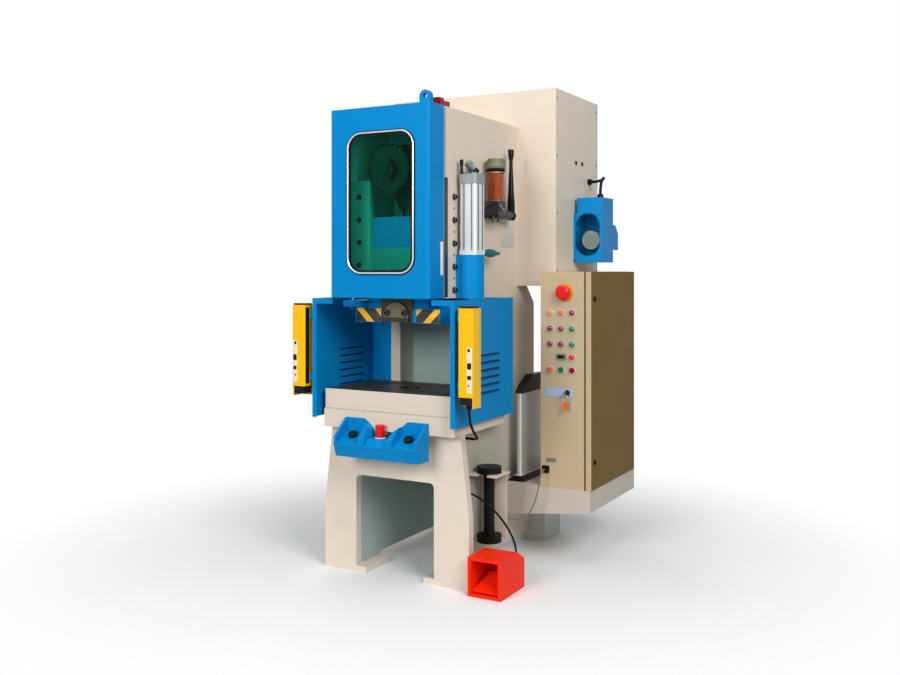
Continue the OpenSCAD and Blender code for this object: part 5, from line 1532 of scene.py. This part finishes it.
@dataclass(frozen=True)
class OilPump(Assembly):
    """Clear bowl with its oil, bands and fluted cap, the pump's pipe and fittings, and the lever's boot.

    Attributes:
        foot: Middle of the bowl's foot.
        radius: Outer radius of the bowl.
        height: Height of the bowl.
        wall: Thickness of its wall.
        base: Height of its inner floor.
        level: Height of the oil.
        gap: Gap between the oil and the wall.
        rim: Width of the oil's slope at the wall.
        cap: Radius and height of the cap's skirt.
        flutes: Number of flutes around the cap.
        flute: Share of the radius by which the flutes wave.
        bands: Height, section radius and finish of each band.
        pipe: Radius of the delivery pipe.
        outlet: Where the pipe leaves the pump, from the front of the bowl's foot.
        port: Where the pipe enters the side plate.
        stop: Distance of the pipe's end from the port.
        pulls: Pull on the pipe at the outlet and at the port.
        nut: Radius and height of the nut at the outlet.
        flange: Profile of the flange at the port.
        fittings: Depth, height and radius of the screws on the pump's outer face.
        seat: Height of the hexagon under such a screw, and its radius as a factor.
        flat: How far the pump's outer face lies inside the bowl's radius.
        hub: Middle of the lever's hub.
        boot: Profile of the rubber boot on the lever.
    """

    foot: Triple = (0.311, -0.118, 1.676)
    radius: float = 0.041
    height: float = 0.175
    wall: float = 0.0015
    base: float = 0.004
    level: float = 0.127
    gap: float = 0.0005
    rim: float = 0.006
    cap: Pair = (0.0445, 0.024)
    flutes: int = 24
    flute: float = 0.018
    bands: tuple[tuple[float, float, str], ...] = ((0.144, 0.0045, "rubber"), (0.134, 0.003, "bronze"),
                                                   (0.003, 0.0025, "valve"))
    pipe: float = 0.006
    outlet: Triple = (-0.011, 0.0, -0.014)
    port: Triple = (0.255, -0.165, 1.585)
    stop: float = 0.004
    pulls: tuple[Triple, Triple] = ((0, -0.085, 0.006), (0.050, -0.050, 0.030))
    nut: Pair = (0.012, 0.014)
    flange: Profile = ((0.014, 0), (0.014, 0.005), (0.009, 0.008), (0.009, 0.016), (0.007, 0.017))
    fittings: tuple[Triple, ...] = ((-0.146, 1.653, 0.008), (-0.120, 1.640, 0.010),
                                    (-0.096, 1.658, 0.007))
    seat: Pair = (0.006, 1.25)
    flat: float = 0.006
    hub: Triple = (0.303, 0.061, 1.622)
    boot: Profile = ((0.0148, -0.023), (0.0185, -0.020), (0.0185, 0.0425), (0.017575, 0.068),
                     (0.01591, 0.085))

    def vessel(self, bench: Bench) -> None:
        """Makes the bowl, the oil and the bands.

        Args:
            bench: The bench.
        """
        inner = self.radius - self.wall
        wall = [(self.radius, 0), (self.radius, self.height), (inner, self.height), (inner, self.base)]
        bowl = lathe(wall, self.foot, UP, sides=56)
        wide, low = inner - self.gap, self.base + 2 * self.gap
        fill = [(wide, low), (wide, self.level), (inner - self.rim, self.level + self.gap)]
        oil = lathe(fill, self.foot, UP, sides=56)
        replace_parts(bench.add("oil_glass", bowl, "clear", "press", "clear"), "oil_bowl")
        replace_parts(bench.add("oil_fill", oil, "oil", "press", "oil"), "oil_bowl")
        for number, (rise, section, finish) in enumerate(self.bands):
            ring = hoop(self.radius, section, np.array(self.foot) + [0, 0, rise])
            slot = "rubber" if finish == "rubber" else "alu"
            bench.add(f"oil_band_{number}", ring, finish, "press", slot)

    def skirt(self) -> Form:
        """Fluted skirt of the cap: its radius waves with the angle, and narrows at both rims.

        Returns:
            The form.
        """
        radius, height = self.cap
        turn = np.linspace(0, 2 * math.pi, self.flutes * 8, endpoint=False)
        wave = 1 + self.flute * np.cos(self.flutes * turn)
        lip, gap, inset, bevel = 0.001, 0.0004, 0.0015, 0.002
        top, inner, rim = self.height + lip, self.radius + gap, radius - inset
        steps = ((inner, 0), (rim, 0), (radius, bevel), (radius, height - bevel), (rim, height),
                 (inner, height))
        rings = [np.stack([r * wave * np.cos(turn), r * wave * np.sin(turn),
                           np.full(len(turn), top - height + h)], -1) for r, h in steps]
        return Form.loft(np.array(rings) + np.array(self.foot), closed=True)

    def plumbing(self, bench: Bench) -> None:
        """Makes the pipe and the fittings.

        Args:
            bench: The bench.
        """
        x, y, z = self.foot
        start = np.array([x, y - self.radius, z]) + self.outlet
        port = np.array(self.port)
        pull, push = self.pulls
        path = curve(start, start + pull, port + push, port + [self.stop, 0, 0], count=32)
        radius, height = self.nut
        nut = prism(polygon(6, radius), start, FRONT, height)
        flange = lathe(self.flange, port, RIGHT, sides=28)
        pipe = Form.merge([sweep(path, self.pipe, sides=18), nut, flange])
        bench.add("pump_pipe", pipe, "bolt", "press", "steel")
        face = x + self.radius - self.flat
        seat, factor = self.seat
        screws = [Form.merge([prism(polygon(6, r * factor), (face, depth, rise), RIGHT, seat),
                              pan_screw(r, (face + seat, depth, rise), RIGHT)])
                  for depth, rise, r in self.fittings]
        bench.add("pump_fittings", Form.merge(screws), "valve", "press", "alu")

    def build(self, bench: Bench) -> None:
        """Makes its pieces.

        Args:
            bench: The bench.
        """
        self.vessel(bench)
        bench.add("oil_cap", self.skirt(), "cap", "press", "steel", angle=60.0)
        self.plumbing(bench)
        bench.add("lever_boot", lathe(self.boot, self.hub, UP, sides=36), "rubber", "lever", "rubber")


@dataclass(frozen=True)
class BalanceCylinders(Assembly):
    """Screws, valve, knob and post on the heads of the balance cylinders.

    Attributes:
        head: Middle of the right head's top.
        corner: Distance of the screws from the middle.
        screw: Radius and height of a screw's head.
        arm: Start and end of the slanted valve body, from the middle.
        arm_shape: Profile of the valve body, short of its end.
        valve_foot: Profile of the valve's six-sided foot.
        knob: Profile of the knob at the valve's end.
        post: Foot of the post, from the middle.
        post_shape: Profile of the post.
    """

    head: Triple = (0.316, -0.360, 1.783)
    corner: float = 0.035
    screw: Pair = (0.005, 0.005)
    arm: tuple[Triple, ...] = ((-0.012, -0.014, 0.046), (0.026, -0.018, 0.016))
    arm_shape: Profile = ((0.0126, -0.006), (0.018, -0.002), (0.018, 0.014), (0.0125, 0.018))
    valve_foot: Profile = ((0.014, 0), (0.014, 0.008), (0.010, 0.010), (0.010, 0.045))
    knob: Profile = ((0.0077, 0), (0.011, 0.003), (0.011, 0.013), (0.0077, 0.016))
    post: Pair = (-0.034, -0.034)
    post_shape: Profile = ((0.00935, 0), (0.00935, 0.008), (0.0055, 0.010), (0.0055, 0.0372),
                           (0.00825, 0.03844), (0.00825, 0.062), (0.0055, 0.064))

    def build(self, bench: Bench) -> None:
        """Makes its pieces.

        Args:
            bench: The bench.
        """
        head = np.array(self.head)
        spots = [(x, y, 0) for x in (-self.corner, self.corner) for y in (-self.corner, self.corner)]
        screws = cap_screw(*self.screw, head, UP).at(spots[1:])
        first, last = (head + np.array(p) for p in self.arm)
        way = unit(last - first)
        end = (self.arm_shape[-1][0], float(np.linalg.norm(last - first)))
        arm = lathe([*self.arm_shape, end], first, way, sides=28)
        foot = lathe(self.valve_foot, head + np.array([*self.arm[0][:2], 0]), UP, sides=6)
        bench.add("cylinder_valves", Form.merge([screws, arm, foot]).mirrored(), "valve", "press", "alu")
        knob = lathe(self.knob, last, way, sides=28)
        post = lathe(self.post_shape, head + np.array([*self.post, 0]), UP, sides=24)
        bench.add("valve_knobs", Form.merge([knob, post]).mirrored(), "black", "press", "black")


@dataclass(frozen=True)
class HandConsole(Assembly):
    """Pale ring under the emergency stop and the small knob beside it.

    Attributes:
        ring: Middle of the ring, on the deck.
        ring_shape: Profile of the ring.
        knob: Foot of the knob.
        knob_shape: Profile of the knob.
    """

    ring: Triple = (-0.018, -0.586, 0.630)
    ring_shape: Profile = ((0.024, 0), (0.024, 0.0014), (0.021, 0.0025), (0.0108, 0.0025))
    knob: Triple = (0.026, -0.582, 0.630)
    knob_shape: Profile = ((0.0063, 0), (0.0063, 0.006), (0.009, 0.007), (0.009, 0.014), (0.0063, 0.016))

    def build(self, bench: Bench) -> None:
        """Makes the ring and the knob."""
        bench.add("stop_ring", lathe(self.ring_shape, self.ring, UP), "white", "press", "trim")
        bench.add("console_knob", lathe(self.knob_shape, self.knob, UP, 28), "black", "press", "black")


ASSEMBLIES: tuple[type[Assembly], ...] = (
    RamGuides, RamFront, FrontCover, RearCover, CamSwitch, ControlPanel, LightCurtains, SideGuards,
    SidePlates, OilPump, BalanceCylinders, HandConsole,
)


@dataclass(frozen=True)
class Lamp:
    """Soft studio light.

    Attributes:
        place: Where it stands.
        aim: Point that it faces.
        size: Side of its square.
        power: Watts.
    """

    place: Triple
    aim: Triple
    size: float
    power: float


class Studio:
    """Camera, floor, lights and background."""

    CAMERA = Vector((2.3546, -4.2066, 1.3627))
    BEARING = math.radians(29.2)
    FOCAL_PIXELS = 990.0
    HORIZON_SHIFT = -67.5
    FLOOR_REACH = 2.5
    FLOOR_LEVEL = -0.0005
    FLOOR_FADE = (0.7, 2.4)
    FLOOR_TINTS = ((0.88, 0.88, 0.88), (0.92, 0.92, 0.92))
    SOFT_LIGHT = (0.84, 0.96, 0.98, 1.0)
    SOFT_STRENGTH = 0.2
    LAMPS = (
        Lamp((-0.3, -6.4, 3.0), (0.0, -0.4, 1.1), 2.2, 205.0),
        Lamp((4.4, -3.0, 3.8), (0.2, -0.2, 1.4), 2.4, 195.0),
        Lamp((0.4, -1.0, 5.2), (0.2, 0.0, 0.8), 3.6, 60.0),
        Lamp((-3.6, 3.6, 3.0), (0.0, 0.2, 1.0), 3.0, 60.0),
    )

    @classmethod
    def camera(cls) -> None:
        """Places the camera as in the photograph."""
        data = bpy.data.cameras.new("camera")
        data.sensor_width = 36.0
        data.lens = data.sensor_width * cls.FOCAL_PIXELS / IMAGE_WIDTH
        data.shift_y = cls.HORIZON_SHIFT / IMAGE_WIDTH
        data.dof.use_dof = False
        camera = bpy.data.objects.new("camera", data)
        look = Vector((-math.sin(cls.BEARING), math.cos(cls.BEARING), 0.0))
        camera.location = cls.CAMERA
        camera.rotation_euler = look.to_track_quat("-Z", "Y").to_euler()
        bpy.context.scene.collection.objects.link(camera)
        bpy.context.scene.camera = camera

    @classmethod
    def floor(cls) -> None:
        """Lays a pale floor that isn't part of the object."""
        graph = Graph("floor")
        shade = graph.mix(graph.noise(scale=2.0, detail=3.0), *cls.FLOOR_TINTS)
        away = graph.node("ShaderNodeVectorMath", {0: graph.place()}, "Value", operation="LENGTH")
        clear = away.between(*cls.FLOOR_FADE)
        material = graph.close({"Base Color": shade, "Roughness": 0.9, "Alpha": 1 - clear})
        corners = np.array([[-1, -1], [1, -1], [1, 1], [-1, 1]]) * cls.FLOOR_REACH
        mesh = bpy.data.meshes.new("floor")
        mesh.from_pydata(np.c_[corners, np.full(4, cls.FLOOR_LEVEL)].tolist(), [], [[0, 1, 2, 3]])
        mesh.materials.append(material)
        floor = bpy.data.objects.new("floor", mesh)
        bpy.context.scene.collection.objects.link(floor)

    @classmethod
    def lights(cls) -> None:
        """Hangs the soft lights."""
        for number, lamp in enumerate(cls.LAMPS):
            data = bpy.data.lights.new(f"light_{number}", "AREA")
            data.shape, data.size, data.energy = "SQUARE", lamp.size, lamp.power
            light = bpy.data.objects.new(f"light_{number}", data)
            light.location = lamp.place
            way = Vector(lamp.aim) - Vector(lamp.place)
            light.rotation_euler = way.to_track_quat("-Z", "Y").to_euler()
            bpy.context.scene.collection.objects.link(light)

    @classmethod
    def background(cls) -> None:
        """White behind the object, and softer light from all round."""
        world = bpy.data.worlds.new("studio")
        world.use_nodes = True
        nodes, links = world.node_tree.nodes, world.node_tree.links
        nodes.clear()
        path = nodes.new("ShaderNodeLightPath")
        soft, white = nodes.new("ShaderNodeBackground"), nodes.new("ShaderNodeBackground")
        soft.inputs["Color"].default_value = cls.SOFT_LIGHT
        soft.inputs["Strength"].default_value = cls.SOFT_STRENGTH
        white.inputs["Strength"].default_value = 1.0
        white.inputs["Color"].default_value = (1.0, 1.0, 1.0, 1.0)
        choose = nodes.new("ShaderNodeMixShader")
        output = nodes.new("ShaderNodeOutputWorld")
        seen = path.outputs["Is Camera Ray"]
        for ray in ("Is Glossy Ray", "Is Transmission Ray"):
            either = nodes.new("ShaderNodeMath")
            either.operation = "MAXIMUM"
            links.new(seen, either.inputs[0])
            links.new(path.outputs[ray], either.inputs[1])
            seen = either.outputs[0]
        links.new(seen, choose.inputs[0])
        links.new(soft.outputs[0], choose.inputs[1])
        links.new(white.outputs[0], choose.inputs[2])
        links.new(choose.outputs[0], output.inputs["Surface"])
        bpy.context.scene.world = world
        bpy.context.scene.view_settings.view_transform = "Standard"


def main() -> None:
    """Builds the whole scene."""
    logging.basicConfig(level=logging.INFO)
    for item in list(bpy.data.objects):
        bpy.data.objects.remove(item)
    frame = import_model()
    Studio.camera()
    bench = Bench(frame, finishes())
    Cords.lay(bench)
    for finish, nodes in COATS.items():
        for node in nodes.split():
            bench.coat(node, finish)
    for assembly in ASSEMBLIES:
        assembly().build(bench)
    Studio.floor()
    Studio.lights()
    Studio.background()


if __name__ == "__main__":
    main()
